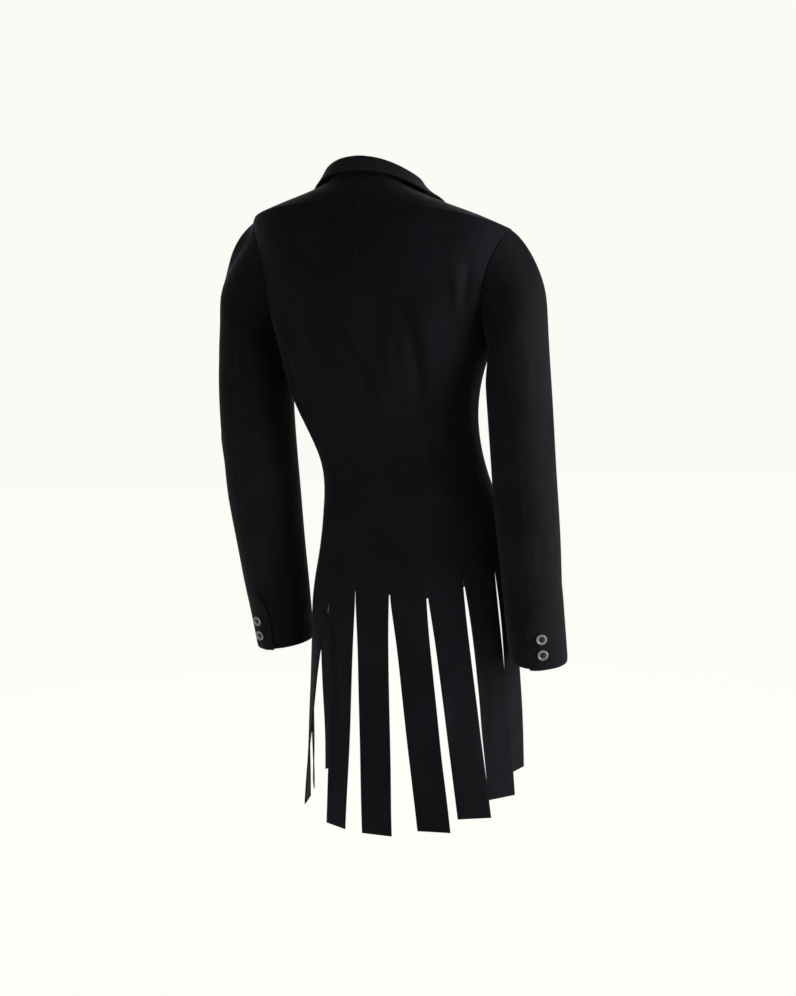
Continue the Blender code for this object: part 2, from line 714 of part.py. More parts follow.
def sleeve_point(side, turn, station):
    """Point of a sleeve's outer face; the station runs from -1 at the armhole over 0 at the first ring."""
    if station >= 0:
        return ring_point(side, turn, station)
    point, normal, over = armhole_frame(side, turn)
    low = 0.5 * (1 - math.cos(turn))
    rise = math.radians(mix(SLEEVE_RISE_TOP, SLEEVE_RISE_UNDER, low))
    lead = math.cos(rise) * over + math.sin(rise) * normal
    lead[2] -= SLEEVE_FALL * math.sin(turn) ** 2
    start = point + SEAM_GAP * over
    end = ring_point(side, turn, 0.0)
    follow = ring_point(side, turn, 1.0) - end
    reach = np.linalg.norm(end - start)
    lead = unit(lead) * reach * mix(ARMS[side].head, 0.8, low)
    follow = unit(follow) * reach
    s = station + 1
    return (
        start * (2 * s**3 - 3 * s**2 + 1)
        + end * (3 * s**2 - 2 * s**3)
        + lead * (s**3 - 2 * s**2 + s)
        + follow * (s**3 - s**2)
    )


def sleeve_normal(side, turn, station):
    """Outward normal of a sleeve."""
    wide = 10 * STEP
    low, high = max(station - wide, -1.0), min(station + wide, LAST_RING)
    if low < 0 < high:
        low, high = station - wide, station
    across = sleeve_point(side, turn + wide, station) - sleeve_point(side, turn - wide, station)
    down = sleeve_point(side, turn, high) - sleeve_point(side, turn, low)
    return unit(np.cross(across, down)) * -side


SLEEVE_STATIONS = (
    [-1.0, -0.94, -0.86, -0.74, -0.6, -0.45, -0.3, -0.15]
    + spaced(0.0, 2.0, 6)
    + spaced(2.0, 4.0, 6)
    + [4.0, 4.42, 4.56, 4.70, 4.80, 4.95, 5.3, 5.65, 6.0]
)


def sleeve_wrinkle(side, turn, station):
    """How far the sleeve's largest folds move the cloth outwards."""
    lift = 0.0
    for fold in SLEEVE_FOLDS:
        if fold.side in (0, side):
            off_turn = (math.degrees(turn) - fold.turn + 180) % 360 - 180
            level = station - fold.station - fold.slant * off_turn / 90
            lift += fold.depth * math.exp(-((level / fold.spread) ** 2) - (off_turn / fold.reach) ** 2)
    return lift


def sleeve_face(side, turn, station, lift=0.0):
    """Point and normal of a sleeve with its folds."""
    normal = sleeve_normal(side, turn, station)
    near_armhole = ease((station + 1) / 0.5)
    lift += sleeve_wrinkle(side, turn, station) * near_armhole
    return sleeve_point(side, turn, station) + lift * normal, normal


def vent_lift(turn):
    """How far the top sleeve stands off the under sleeve near the vent's edge."""
    return VENT_LIFT * ease((turn - HIND_SEAM + 0.40) / 0.36)


def build_sleeve_piece(side, name, first, last, columns, finish, lap):
    """Piece of a sleeve between two seams; a lap carries its last edge over the other piece at the vent."""
    points, normals = [], []
    for station in SLEEVE_STATIONS:
        radius = np.linalg.norm(sleeve_point(side, last, station) - sleeve_point(side, last - STEP, station)) / STEP
        trim = 0.5 * SEAM_GAP / radius
        below = (LAST_RING - station) * CUFF_RING_STEP
        lifted = ease((VENT_LENGTH - below) / VENT_LIFTS_IN) if lap else 0.0
        lapped = ease((VENT_LENGTH - LAP_STARTS - below) / LAP_RUNS_IN) if lap else 0.0
        end = last - trim + lapped * VENT_LAP / radius
        row_points, row_normals = [], []
        for c in range(columns + 1):
            turn = mix(first + trim, end, (c / columns) ** (0.9 if lap else 1.0))
            point, normal = sleeve_face(side, turn, station, lifted * vent_lift(turn))
            row_points.append(point)
            row_normals.append(normal)
        points.append(row_points)
        normals.append(row_normals)
    grid_wall(name, points, normals, finish)


def build_sleeve(side, word):
    """Top and under sleeve."""
    build_sleeve_piece(side, f"sleeve_top_{word}", FORE_SEAM - 2 * math.pi, HIND_SEAM, 14, "wool_top_sleeve", True)
    build_sleeve_piece(side, f"sleeve_under_{word}", HIND_SEAM, FORE_SEAM, 9, "wool_under_sleeve", False)


def turned(name, centre, axis, profile, finish, sides=16):
    """Turned piece from a profile of (radius, height) that starts and ends on its axis."""
    axis = unit(np.asarray(axis))
    across = unit(np.cross(axis, (0.0, 0.0, 1.0)))
    up = np.cross(across, axis)
    points = [centre + profile[0][1] * axis]
    for radius, height in profile[1:-1]:
        for k in range(sides):
            turn = 2 * math.pi * k / sides
            points.append(centre + height * axis + radius * (math.cos(turn) * across + math.sin(turn) * up))
    points.append(centre + profile[-1][1] * axis)
    faces = []
    rings = len(profile) - 2
    for k in range(sides):
        j = (k + 1) % sides
        faces.append((0, 1 + k, 1 + j))
        for r in range(rings - 1):
            low, high = 1 + r * sides, 1 + (r + 1) * sides
            faces.append((low + k, high + k, high + j, low + j))
        top = 1 + (rings - 1) * sides
        faces.append((len(points) - 1, top + j, top + k))
    volume = sum(np.dot(points[f[0]], np.cross(points[f[1]], points[f[2]])) for f in faces if len(f) == 3)
    volume += sum(
        np.dot(points[f[0]], np.cross(points[f[1]], points[f[2]]))
        + np.dot(points[f[0]], np.cross(points[f[2]], points[f[3]]))
        for f in faces
        if len(f) == 4
    )
    if volume < 0:
        faces = [tuple(reversed(face)) for face in faces]
    return add_object(name, points, faces, finish)


def button_profile(diameter, thickness):
    """Dished button: flat back, round rim and a hollow in its face."""
    r, t = diameter / 2, thickness
    return (
        (0.0, 0.0),
        (0.72 * r, 0.0),
        (0.92 * r, 0.22 * t),
        (r, 0.55 * t),
        (0.95 * r, 0.88 * t),
        (0.84 * r, t),
        (0.72 * r, 0.86 * t),
        (0.60 * r, 0.60 * t),
        (0.0, 0.55 * t),
    )


def build_cuff_buttons(side, word):
    """Two buttons above the cuff, on the lapped edge of the top sleeve."""
    for k, below in enumerate(CUFF_BUTTON_HEIGHTS):
        station = LAST_RING - below / CUFF_RING_STEP
        turn = HIND_SEAM - CUFF_BUTTON_INSET / RINGS[-1].half_depth
        point, normal = sleeve_face(side, turn, station, vent_lift(turn))
        seat = point + BUTTON_SEAT * normal
        profile = button_profile(CUFF_BUTTON, CUFF_BUTTON_THICKNESS)
        turned(f"cuff_button_{word}_{k + 1}", seat, normal, profile, "button_gloss")


def build_front_buttons():
    """Two buttons on the upper front, on the centre front."""
    for k, height in enumerate(FRONT_BUTTON_HEIGHTS):
        angle = math.pi
        normal = body_normal(-angle, height)
        seat = front_point(-1, angle, height) + BUTTON_SEAT * normal
        profile = button_profile(FRONT_BUTTON, FRONT_BUTTON_THICKNESS)
        turned(f"front_button_{k + 1}", seat, normal, profile, "button_gloss")


clear_scene()
for side, word in ((1, "left"), (-1, "right")):
    build_back(side, f"back_{word}")
    build_side(side, f"side_{word}")
    build_front(side, f"front_{word}")
    build_lapel(side, f"lapel_{word}")
    build_sleeve(side, word)
    build_cuff_buttons(side, word)
build_front_buttons()
build_collar()
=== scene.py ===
"""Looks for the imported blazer: wool shells with soft creases, seams and stitches, buttons, light and camera.

Each cloth piece is grown from its solid: the outer face is copied, smoothed, creased along the lines of
CREASES, lowered at its edges and given a thin wall. Lengths are in metres, in the row frame of the solids.
"""

import json
import logging
import math
from dataclasses import dataclass, field
from enum import Enum
from typing import ClassVar

import bmesh
import bpy
import numpy as np
from bmesh.types import BMEdge, BMFace, BMesh
from bpy.types import ID, Material, Mesh, Node, NodeTree, Object
from bpy.types import NodeSocket as Socket
from bpy.types import bpy_prop_collection as Outputs
from mathutils import Matrix, Vector

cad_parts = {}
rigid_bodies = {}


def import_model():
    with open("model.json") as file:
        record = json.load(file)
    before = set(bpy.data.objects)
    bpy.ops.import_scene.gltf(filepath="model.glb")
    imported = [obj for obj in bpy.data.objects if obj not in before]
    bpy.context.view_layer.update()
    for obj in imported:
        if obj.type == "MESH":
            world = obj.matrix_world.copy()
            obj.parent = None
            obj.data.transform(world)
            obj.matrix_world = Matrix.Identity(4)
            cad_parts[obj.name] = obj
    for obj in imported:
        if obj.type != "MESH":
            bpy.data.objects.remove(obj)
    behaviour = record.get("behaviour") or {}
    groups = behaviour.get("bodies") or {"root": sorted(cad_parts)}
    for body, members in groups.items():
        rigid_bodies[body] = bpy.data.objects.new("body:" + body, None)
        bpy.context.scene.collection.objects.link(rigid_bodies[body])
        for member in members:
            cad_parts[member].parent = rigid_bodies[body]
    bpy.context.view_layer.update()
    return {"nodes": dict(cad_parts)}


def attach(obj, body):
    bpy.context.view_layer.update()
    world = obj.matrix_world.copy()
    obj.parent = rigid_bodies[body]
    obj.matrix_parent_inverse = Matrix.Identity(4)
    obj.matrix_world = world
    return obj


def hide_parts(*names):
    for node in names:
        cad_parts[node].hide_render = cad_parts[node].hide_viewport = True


LOG = logging.getLogger("blazer")
IMAGE_HEIGHT = 996
MM = 0.001

# A level below everything, for pieces that have no hem or no facing
NOWHERE = -9.0

# Distances within which points are joined
SOLID_WELD = 0.00002
BAND_WELD = 0.0002
GUIDE_WELD = 0.0006

# A boundary that turns more sharply than this angle, in degrees, has a corner, which holds points within its reach
CORNER_ANGLE = 138.0
CORNER_REACH = 0.0016

# Largest bend and skew of two triangles that are joined, in degrees
JOINED_BEND = 60.0
JOINED_SHAPE = 70.0

# Smallest and largest size of a pick stitch, as shares of the stated size
PICK_SIZES = (0.82, 1.18)

# Angles from which edges are shaded sharp, in degrees
WALL_SHARP = 50.0
BUTTON_SHARP = 38.0


class Slot(Enum):
    """Material slots of the record."""

    BODY = "wool_body"
    SIDE = "wool_side"
    FRONT = "wool_front"
    LAPEL = "wool_lapel"
    COLLAR = "wool_collar"
    TOP_SLEEVE = "wool_top_sleeve"
    UNDER_SLEEVE = "wool_under_sleeve"
    BUTTON = "button_gloss"


class Edge(Enum):
    """How a stitch row follows its piece."""

    HEM = "hem"
    FRONT = "front"
    NONE = "none"


Colour = tuple[float, float, float, float]
Groups = dict[str, NodeTree]


# Node trees


@dataclass(frozen=True)
class Wires:
    """A node tree, with short ways to add nodes and link them."""

    tree: NodeTree

    def fill(self, node: Node, values: dict[str | int, object]) -> None:
        """Links sockets to a node's inputs, or sets plain values.

        Args:
            node: The node.
            values: Sockets or values by the input's name or place.
        """
        for label, value in values.items():
            if isinstance(value, Socket):
                self.tree.links.new(value, node.inputs[label])
            else:
                node.inputs[label].default_value = value

    def node(self, kind: str, values: dict[str | int, object], **settings: object) -> Outputs:
        """Adds a node.

        Args:
            kind: Blender's type of the node.
            values: Sockets or values by the input's name or place.
            settings: The node's own settings, such as its operation.

        Returns:
            The node's outputs.
        """
        made = self.tree.nodes.new(kind)
        for name, value in settings.items():
            setattr(made, name, value)
        self.fill(made, values)
        return made.outputs

    def maths(self, operation: str, *values: object) -> Socket:
        """Adds a math node on sockets or numbers, in order, and gives its output."""
        return self.node("ShaderNodeMath", dict(enumerate(values)), operation=operation)[0]

    def times(self, first: object, second: object) -> Socket:
        """Multiplies two sockets or numbers."""
        return self.maths("MULTIPLY", first, second)

    def plus(self, first: object, second: object) -> Socket:
        """Adds two sockets or numbers."""
        return self.maths("ADD", first, second)

    def step(self, value: Socket, low: float, high: float, start: float = 0.0, end: float = 1.0) -> Socket:
        """Adds a smooth step.

        Args:
            value: Socket that is mapped.
            low: Value where the step begins.
            high: Value where the step ends.
            start: Output before the step.
            end: Output after the step.

        Returns:
            The mapped socket.
        """
        span = {"Value": value, "From Min": low, "From Max": high, "To Min": start, "To Max": end}
        return self.node("ShaderNodeMapRange", span, interpolation_type="SMOOTHSTEP")["Result"]

    def blend(self, share: Socket, first: object, second: object) -> Socket:
        """Mixes two colours or colour sockets, by the share of the second."""
        return self.node("ShaderNodeMix", {0: share, 6: first, 7: second}, data_type="RGBA")[2]

    def noise(self, place: Socket, scale: object, detail: float = 2.0, roughness: float = 0.5) -> Socket:
        """Adds a noise texture at a place and gives its value."""
        values = {"Vector": place, "Scale": scale, "Detail": detail, "Roughness": roughness}
        return self.node("ShaderNodeTexNoise", values)["Fac"]

    def attribute(self, name: str) -> Socket:
        """Reads a mesh attribute in a material."""
        return self.node("ShaderNodeAttribute", {}, attribute_name=name)["Fac"]

    def group(self, shared: NodeTree, values: dict[str | int, object]) -> Outputs:
        """Places a shared shader group and fills its inputs."""
        return self.node("ShaderNodeGroup", values, node_tree=shared)

    def bump(self, height: Socket) -> Socket:
        """Turns a height in metres into a normal."""
        return self.node("ShaderNodeBump", {"Strength": 1.0, "Distance": 1.0, "Height": height})["Normal"]


def start_tree(
    kind: str, name: str, inputs: dict[str, tuple[str, object]], outputs: dict[str, str]
) -> tuple[Wires, Outputs, Node]:
    """Starts a node group.

    Args:
        kind: Blender's type of the tree.
        name: Name of the group.
        inputs: Kind of socket and value, or None for no value, by input name.
        outputs: Kind of socket by output name.

    Returns:
        The group's wires, the sockets that it is given and its output node.
    """
    tree = bpy.data.node_groups.new(name, kind)
    for label, (socket_kind, value) in inputs.items():
        socket = tree.interface.new_socket(name=label, in_out="INPUT", socket_type=f"NodeSocket{socket_kind}")
        if value is not None:
            socket.default_value = value
    for label, socket_kind in outputs.items():
        tree.interface.new_socket(name=label, in_out="OUTPUT", socket_type=f"NodeSocket{socket_kind}")
    given, out = tree.nodes.new("NodeGroupInput"), tree.nodes.new("NodeGroupOutput")
    return Wires(tree), given.outputs, out


@dataclass(frozen=True)
class Twill:
    """The weave: fine diagonal ribs over crossing yarns, with uneven yarn thickness."""

    ribs: float = 1100.0
    unevenness: float = 0.35
    drift_scale: float = 240.0
    wobble: float = 6.0
    slant: float = 0.55
    yarns_a_rib: float = 1.9
    rib_share: float = 0.6

    def group(self) -> NodeTree:
        """Builds the shader group.

        Returns:
            Group that puts out the height and the shade of the yarns from a surface position in metres.
        """
        wires, given, out = start_tree(
            "ShaderNodeTree",
            "fine_twill",
            {
                "Position": ("Vector", None),
                "Ribs per metre": ("Float", self.ribs),
                "Unevenness": ("Float", self.unevenness),
            },
            {"Height": "Float", "Shade": "Float"},
        )
        place = wires.node("ShaderNodeSeparateXYZ", {0: given["Position"]})
        turns = wires.times(given["Ribs per metre"], 2 * math.pi)
        drift = wires.noise(given["Position"], self.drift_scale)
        wobble = wires.times(drift, wires.times(given["Unevenness"], self.wobble))
        diagonal = wires.plus(place["X"], wires.times(place["Y"], self.slant))
        rib = wires.maths("SINE", wires.plus(wires.times(diagonal, turns), wobble))
        yarn = wires.maths("SINE", wires.times(place["Y"], wires.times(turns, self.yarns_a_rib)))
        height = wires.plus(wires.times(rib, self.rib_share), wires.times(yarn, 1.0 - self.rib_share))
        wires.fill(out, {"Height": height, "Shade": wires.maths("MULTIPLY_ADD", height, 0.5, 0.5)})
        return wires.tree


@dataclass(frozen=True)
class Nap:
    """The nap: broad soft clouds where the fibres lie differently, ripples and fine lint."""

    cloud_scale: float = 14.0
    cloud_detail: float = 4.0
    cloud_roughness: float = 0.55
    ripple_scale: float = 34.0
    fuzz_scale: float = 900.0
    fuzz_detail: float = 3.0

    def group(self) -> NodeTree:
        """Builds the shader group.

        Returns:
            Group that puts out a broad cloud, a fine fuzz and a height, from an object position.
        """
        wires, given, out = start_tree(
            "ShaderNodeTree",
            "wool_nap",
            {"Position": ("Vector", None), "Cloud scale": ("Float", self.cloud_scale)},
            {"Cloud": "Float", "Fuzz": "Float", "Height": "Float"},
        )
        place = given["Position"]
        cloud = wires.noise(place, given["Cloud scale"], self.cloud_detail, self.cloud_roughness)
        fuzz = wires.noise(place, self.fuzz_scale, self.fuzz_detail)
        wires.fill(out, {"Cloud": cloud, "Fuzz": fuzz, "Height": wires.noise(place, self.ripple_scale)})
        return wires.tree


@dataclass(frozen=True)
class PressedSeam:
    """What sewing leaves on the cloth near an edge: pressed allowance, hem line and rubbed edge, in metres."""

    allowance: float = 0.012
    hem: float = 0.024
    step_half: float = 0.0022
    step_height: float = 0.00016
    fold_half: float = 0.0012
    fold_height: float = 0.00030
    dent_half: float = 0.0016
    dent_depth: float = 0.00018
    wear_and_highlight: tuple[float, float] = (0.0004, 0.0030)

    def group(self) -> NodeTree:
        """Builds the shader group.

        Returns:
            Group that puts out a height and a wear mask, from the distances to the edge and to the hem.
        """
        wires, given, out = start_tree(
            "ShaderNodeTree",
            "pressed_seam",
            {
                "To edge": ("Float", 1.0),
                "To hem": ("Float", 1.0),
                "Allowance": ("Float", self.allowance),
                "Hem": ("Float", self.hem),
            },
            {"Height": "Float", "Wear": "Float"},
        )
        past = wires.maths("SUBTRACT", given["To edge"], given["Allowance"])
        below = wires.maths("SUBTRACT", given["To hem"], given["Hem"])
        pressed = wires.step(past, -self.step_half, self.step_half, self.step_height, 0.0)
        fold = wires.step(below, -self.fold_half, self.fold_half, self.fold_height, 0.0)
        dent = wires.step(wires.maths("ABSOLUTE", below), 0.0, self.dent_half, -self.dent_depth, 0.0)
        height = wires.plus(wires.plus(pressed, fold), dent)
        wires.fill(out, {"Height": height, "Wear": wires.step(given["To edge"], *self.wear_and_highlight, 1.0, 0.0)})
        return wires.tree


# Materials


def new_material(name: str) -> tuple[Material, Wires, Node]:
    """Makes a material with a Principled shader.

    Args:
        name: Name of the material.

    Returns:
        The material, its wires and its shader.
    """
    made = bpy.data.materials.new(name)
    made.use_nodes = True
    return made, Wires(made.node_tree), made.node_tree.nodes["Principled BSDF"]


@dataclass(frozen=True)
class Ground:
    """What every material starts from: its wires, the nap's outputs, the place on the flat cut and the groups."""

    wires: Wires
    nap: Outputs
    flat: Socket
    groups: Groups


@dataclass(frozen=True)
class Finish:
    """A Principled material with the nap laid over the object. Each kind gives its own looks."""

    cloud_scale: ClassVar[float] = Nap.cloud_scale
    name: str

    def looks(self, ground: Ground) -> dict[str, object]:
        """Works out the Principled shader's inputs.

        Args:
            ground: What the material starts from.

        Returns:
            Sockets and values by input name.
        """
        raise NotImplementedError

    def make(self, groups: Groups) -> Material:
        """Builds the material.

        Args:
            groups: Shared shader groups by name.

        Returns:
            The material.
        """
        made, wires, shader = new_material(self.name)
        place = wires.node("ShaderNodeTexCoord", {})
        nap = wires.group(groups["nap"], {"Position": place["Object"], "Cloud scale": self.cloud_scale})
        wires.fill(shader, self.looks(Ground(wires, nap, place["UV"], groups)))
        return made


@dataclass(frozen=True)
class WoolFinish(Finish):
    """Fine black wool: colours of the nap, roughness, sheen and relief."""

    dark: Colour
    light: Colour
    worn: Colour
    relief: float = 1.0
    roughness: float = 0.70
    roughness_spread: float = 0.16
    sheen: float = 0.03
    sheen_roughness: float = 0.42
    sheen_tint: Colour = (0.62, 0.62, 0.72, 1.0)
    gloss: float = 0.06
    cloud_span: tuple[float, float] = (0.35, 0.68)
    lint_span: tuple[float, float] = (0.66, 0.80)
    yarn_share: float = 0.30
    lint_share: float = 0.22
    rubbed_share: float = 0.16
    nap_depth: float = 0.0020
    rib_depth: float = 0.00005
    fuzz_depth: float = 0.00012

    def looks(self, ground: Ground) -> dict[str, object]:
        """Works out the wool: nap over yarns, lint, rubbed edges and the relief of all three groups.

        Args:
            ground: What the material starts from.

        Returns:
            Sockets and values by input name.
        """
        wires, nap = ground.wires, ground.nap
        twill = wires.group(ground.groups["twill"], {"Position": ground.flat})
        edges = {"To edge": wires.attribute("to_edge"), "To hem": wires.attribute("to_hem")}
        seam = wires.group(ground.groups["seam"], edges)
        ground = wires.blend(wires.step(nap["Cloud"], *self.cloud_span), self.dark, self.light)
        yarn = wires.blend(wires.times(twill["Shade"], self.yarn_share), ground, self.light)
        lint = wires.step(nap["Fuzz"], *self.lint_span, 0.0, self.lint_share)
        dusty = wires.blend(lint, yarn, self.worn)
        coarse = wires.plus(wires.times(nap["Height"], self.nap_depth * self.relief), seam["Height"])
        fine = wires.plus(wires.times(twill["Height"], self.rib_depth), wires.times(nap["Fuzz"], self.fuzz_depth))
        return {
            "Base Color": wires.blend(wires.times(seam["Wear"], self.rubbed_share), dusty, self.worn),
            "Roughness": wires.maths("MULTIPLY_ADD", nap["Cloud"], self.roughness_spread, self.roughness),
            "Sheen Weight": self.sheen,
            "Sheen Roughness": self.sheen_roughness,
            "Sheen Tint": self.sheen_tint,
            "Specular IOR Level": self.gloss,
            "Normal": wires.bump(wires.plus(coarse, fine)),
        }


@dataclass(frozen=True)
class LiningFinish(Finish):
    """Smooth black inside of the cloth."""

    cloud_scale: ClassVar[float] = 9.0
    name: str = "satin_lining"
    dark: Colour = (0.0030, 0.0028, 0.0036, 1.0)
    light: Colour = (0.0070, 0.0066, 0.0082, 1.0)

    def looks(self, ground: Ground) -> dict[str, object]:
        """Works out the inside: faint clouds and a soft gloss.

        Args:
            ground: What the material starts from.

        Returns:
            Sockets and values by input name.
        """
        wires, nap = ground.wires, ground.nap
        return {
            "Base Color": wires.blend(nap["Cloud"], self.dark, self.light),
            "Roughness": wires.maths("MULTIPLY_ADD", nap["Cloud"], 0.15, 0.34),
            "Anisotropic": 0.35,
            "Normal": wires.bump(wires.times(nap["Height"], 0.0030)),
        }


@dataclass(frozen=True)
class ButtonFinish(Finish):
    """Polished black button with faint marbling and a painted highlight on its rims."""

    cloud_scale: ClassVar[float] = 160.0
    name: str = "polished_button"
    dark: Colour = (0.0030, 0.0028, 0.0034, 1.0)
    light: Colour = (0.0110, 0.0100, 0.0110, 1.0)
    # Lighter colour of the rim: a painted highlight
    wear_and_highlight: Colour = (0.190, 0.184, 0.196, 1.0)

    def looks(self, ground: Ground) -> dict[str, object]:
        """Works out the button: marbling, a painted highlight on the rim made patchy by the nap's clouds, and a thin
        coat.

        Args:
            ground: What the material starts from.

        Returns:
            Sockets and values by input name.
        """
        wires, nap = ground.wires, ground.nap
        marbled = wires.blend(wires.step(nap["Cloud"], 0.52, 0.70), self.dark, self.light)
        # Painted highlight: the rim is blended patchily towards the lighter rim colour
        rim = wires.times(wires.attribute("rim"), wires.maths("MULTIPLY_ADD", nap["Cloud"], 1.1, 0.15))
        return {
            "Base Color": wires.blend(rim, marbled, self.wear_and_highlight),
            "Roughness": wires.maths("MULTIPLY_ADD", nap["Cloud"], 0.18, 0.16),
            "Specular IOR Level": 0.3,
            "Coat Weight": 0.12,
            "Coat Roughness": 0.12,
            "Normal": wires.bump(wires.times(nap["Fuzz"], 0.00003)),
        }


@dataclass(frozen=True)
class ThreadFinish(Finish):
    """Twisted black sewing thread."""

    name: str = "sewing_thread"
    dark: Colour = (0.0060, 0.0056, 0.0068, 1.0)
    light: Colour = (0.016, 0.015, 0.018, 1.0)

    def looks(self, ground: Ground) -> dict[str, object]:
        """Works out the thread: fibres by the nap's fuzz.

        Args:
            ground: What the material starts from.

        Returns:
            Sockets and values by input name.
        """
        wires, nap = ground.wires, ground.nap
        return {
            "Base Color": wires.blend(nap["Fuzz"], self.dark, self.light),
            "Roughness": wires.maths("MULTIPLY_ADD", nap["Fuzz"], 0.2, 0.5),
            "Sheen Weight": 0.2,
        }


# Cloth


@dataclass(frozen=True)
class Crease:
    """Soft trough or ridge of the cloth: a line of points in millimetres, half its width and its lift."""

    points: tuple[tuple[float, float, float], ...]
    half_width: float
    lift: float
    blunt: ClassVar[float] = 0.03
    fade: ClassVar[float] = 0.7

    def lift_at(self, places: np.ndarray) -> np.ndarray:
        """Works out how far the crease moves points outwards.

        Args:
            places: Points, one a row.

        Returns:
            The lift of each point, in metres.
        """
        line = np.array(self.points) * MM
        spans = np.linalg.norm(np.diff(line, axis=0), axis=1)
        before = np.concatenate([[0.0], np.cumsum(spans)])
        best = np.full(len(places), np.inf)
        along = np.zeros(len(places))
        for k, span in enumerate(spans):
            share = np.clip((places - line[k]) @ (line[k + 1] - line[k]) / span**2, 0.0, 1.0)
            off = np.linalg.norm(places - line[k] - share[:, None] * (line[k + 1] - line[k]), axis=1)
            nearer = off < best
            best = np.where(nearer, off, best)
            along = np.where(nearer, (before[k] + share * span) / before[-1], along)
        ends = np.sin(np.pi * np.clip(along, self.blunt, 1.0 - self.blunt)) ** self.fade
        return self.lift * MM * ends * np.exp(-((best / (self.half_width * MM)) ** 2))


def segment_distance(places: np.ndarray, starts: np.ndarray, ends: np.ndarray) -> np.ndarray:
    """Works out the distance from points to the nearest of some segments.

    Args:
        places: Points, one a row.
        starts: First ends of the segments.
        ends: Second ends of the segments.

    Returns:
        The distance of each point, or 1 where there are no segments.
    """
    nearest = np.ones(len(places))
    for start, end in zip(starts, ends):
        run = end - start
        share = np.clip((places - start) @ run / max(run @ run, 1e-12), 0.0, 1.0)
        nearest = np.minimum(nearest, np.linalg.norm(places - start - share[:, None] * run, axis=1))
    return nearest


def mesh_points(mesh: Mesh) -> np.ndarray:
    """Reads a mesh's points.

    Args:
        mesh: The mesh.

    Returns:
        The points, one a row.
    """
    flat = np.empty(len(mesh.vertices) * 3)
    mesh.vertices.foreach_get("co", flat)
    return flat.reshape(-1, 3)


def plain_mesh(sheet: BMesh, name: str) -> Mesh:
    """Turns an edit mesh into a plain mesh and frees it.

    Args:
        sheet: The edit mesh.
        name: Name of the plain mesh.

    Returns:
        The plain mesh.
    """
    made = bpy.data.meshes.new(name)
    sheet.to_mesh(made)
    sheet.free()
    return made


def new_object(name: str, data: ID) -> Object:
    """Links a new object at the origin.

    Args:
        name: Name of the object.
        data: The mesh, light or camera that it holds.

    Returns:
        The object.
    """
    made = bpy.data.objects.new(name, data)
    bpy.context.scene.collection.objects.link(made)
    return made


def applied(source: Object, name: str) -> Mesh:
    """Turns an object with live modifiers into a plain mesh and removes the object.

    Args:
        source: Object with modifiers.
        name: Name of the plain mesh.

    Returns:
        The plain mesh.
    """
    bpy.context.view_layer.update()
    seen = source.evaluated_get(bpy.context.evaluated_depsgraph_get())
    made = bpy.data.meshes.new_from_object(seen)
    made.name = name
    bpy.data.objects.remove(source, do_unlink=True)
    return made


def inward_of(edge: BMEdge) -> Vector:
    """Works out which way the cloth lies from a boundary edge.

    Args:
        edge: The boundary edge.

    Returns:
        The direction into its face, of length 1.
    """
    face, start = edge.link_faces[0], edge.verts[0].co
    inward = face.normal.cross(edge.verts[1].co - start).normalized()
    return inward if inward.dot(face.calc_center_median() - start) >= 0 else -inward


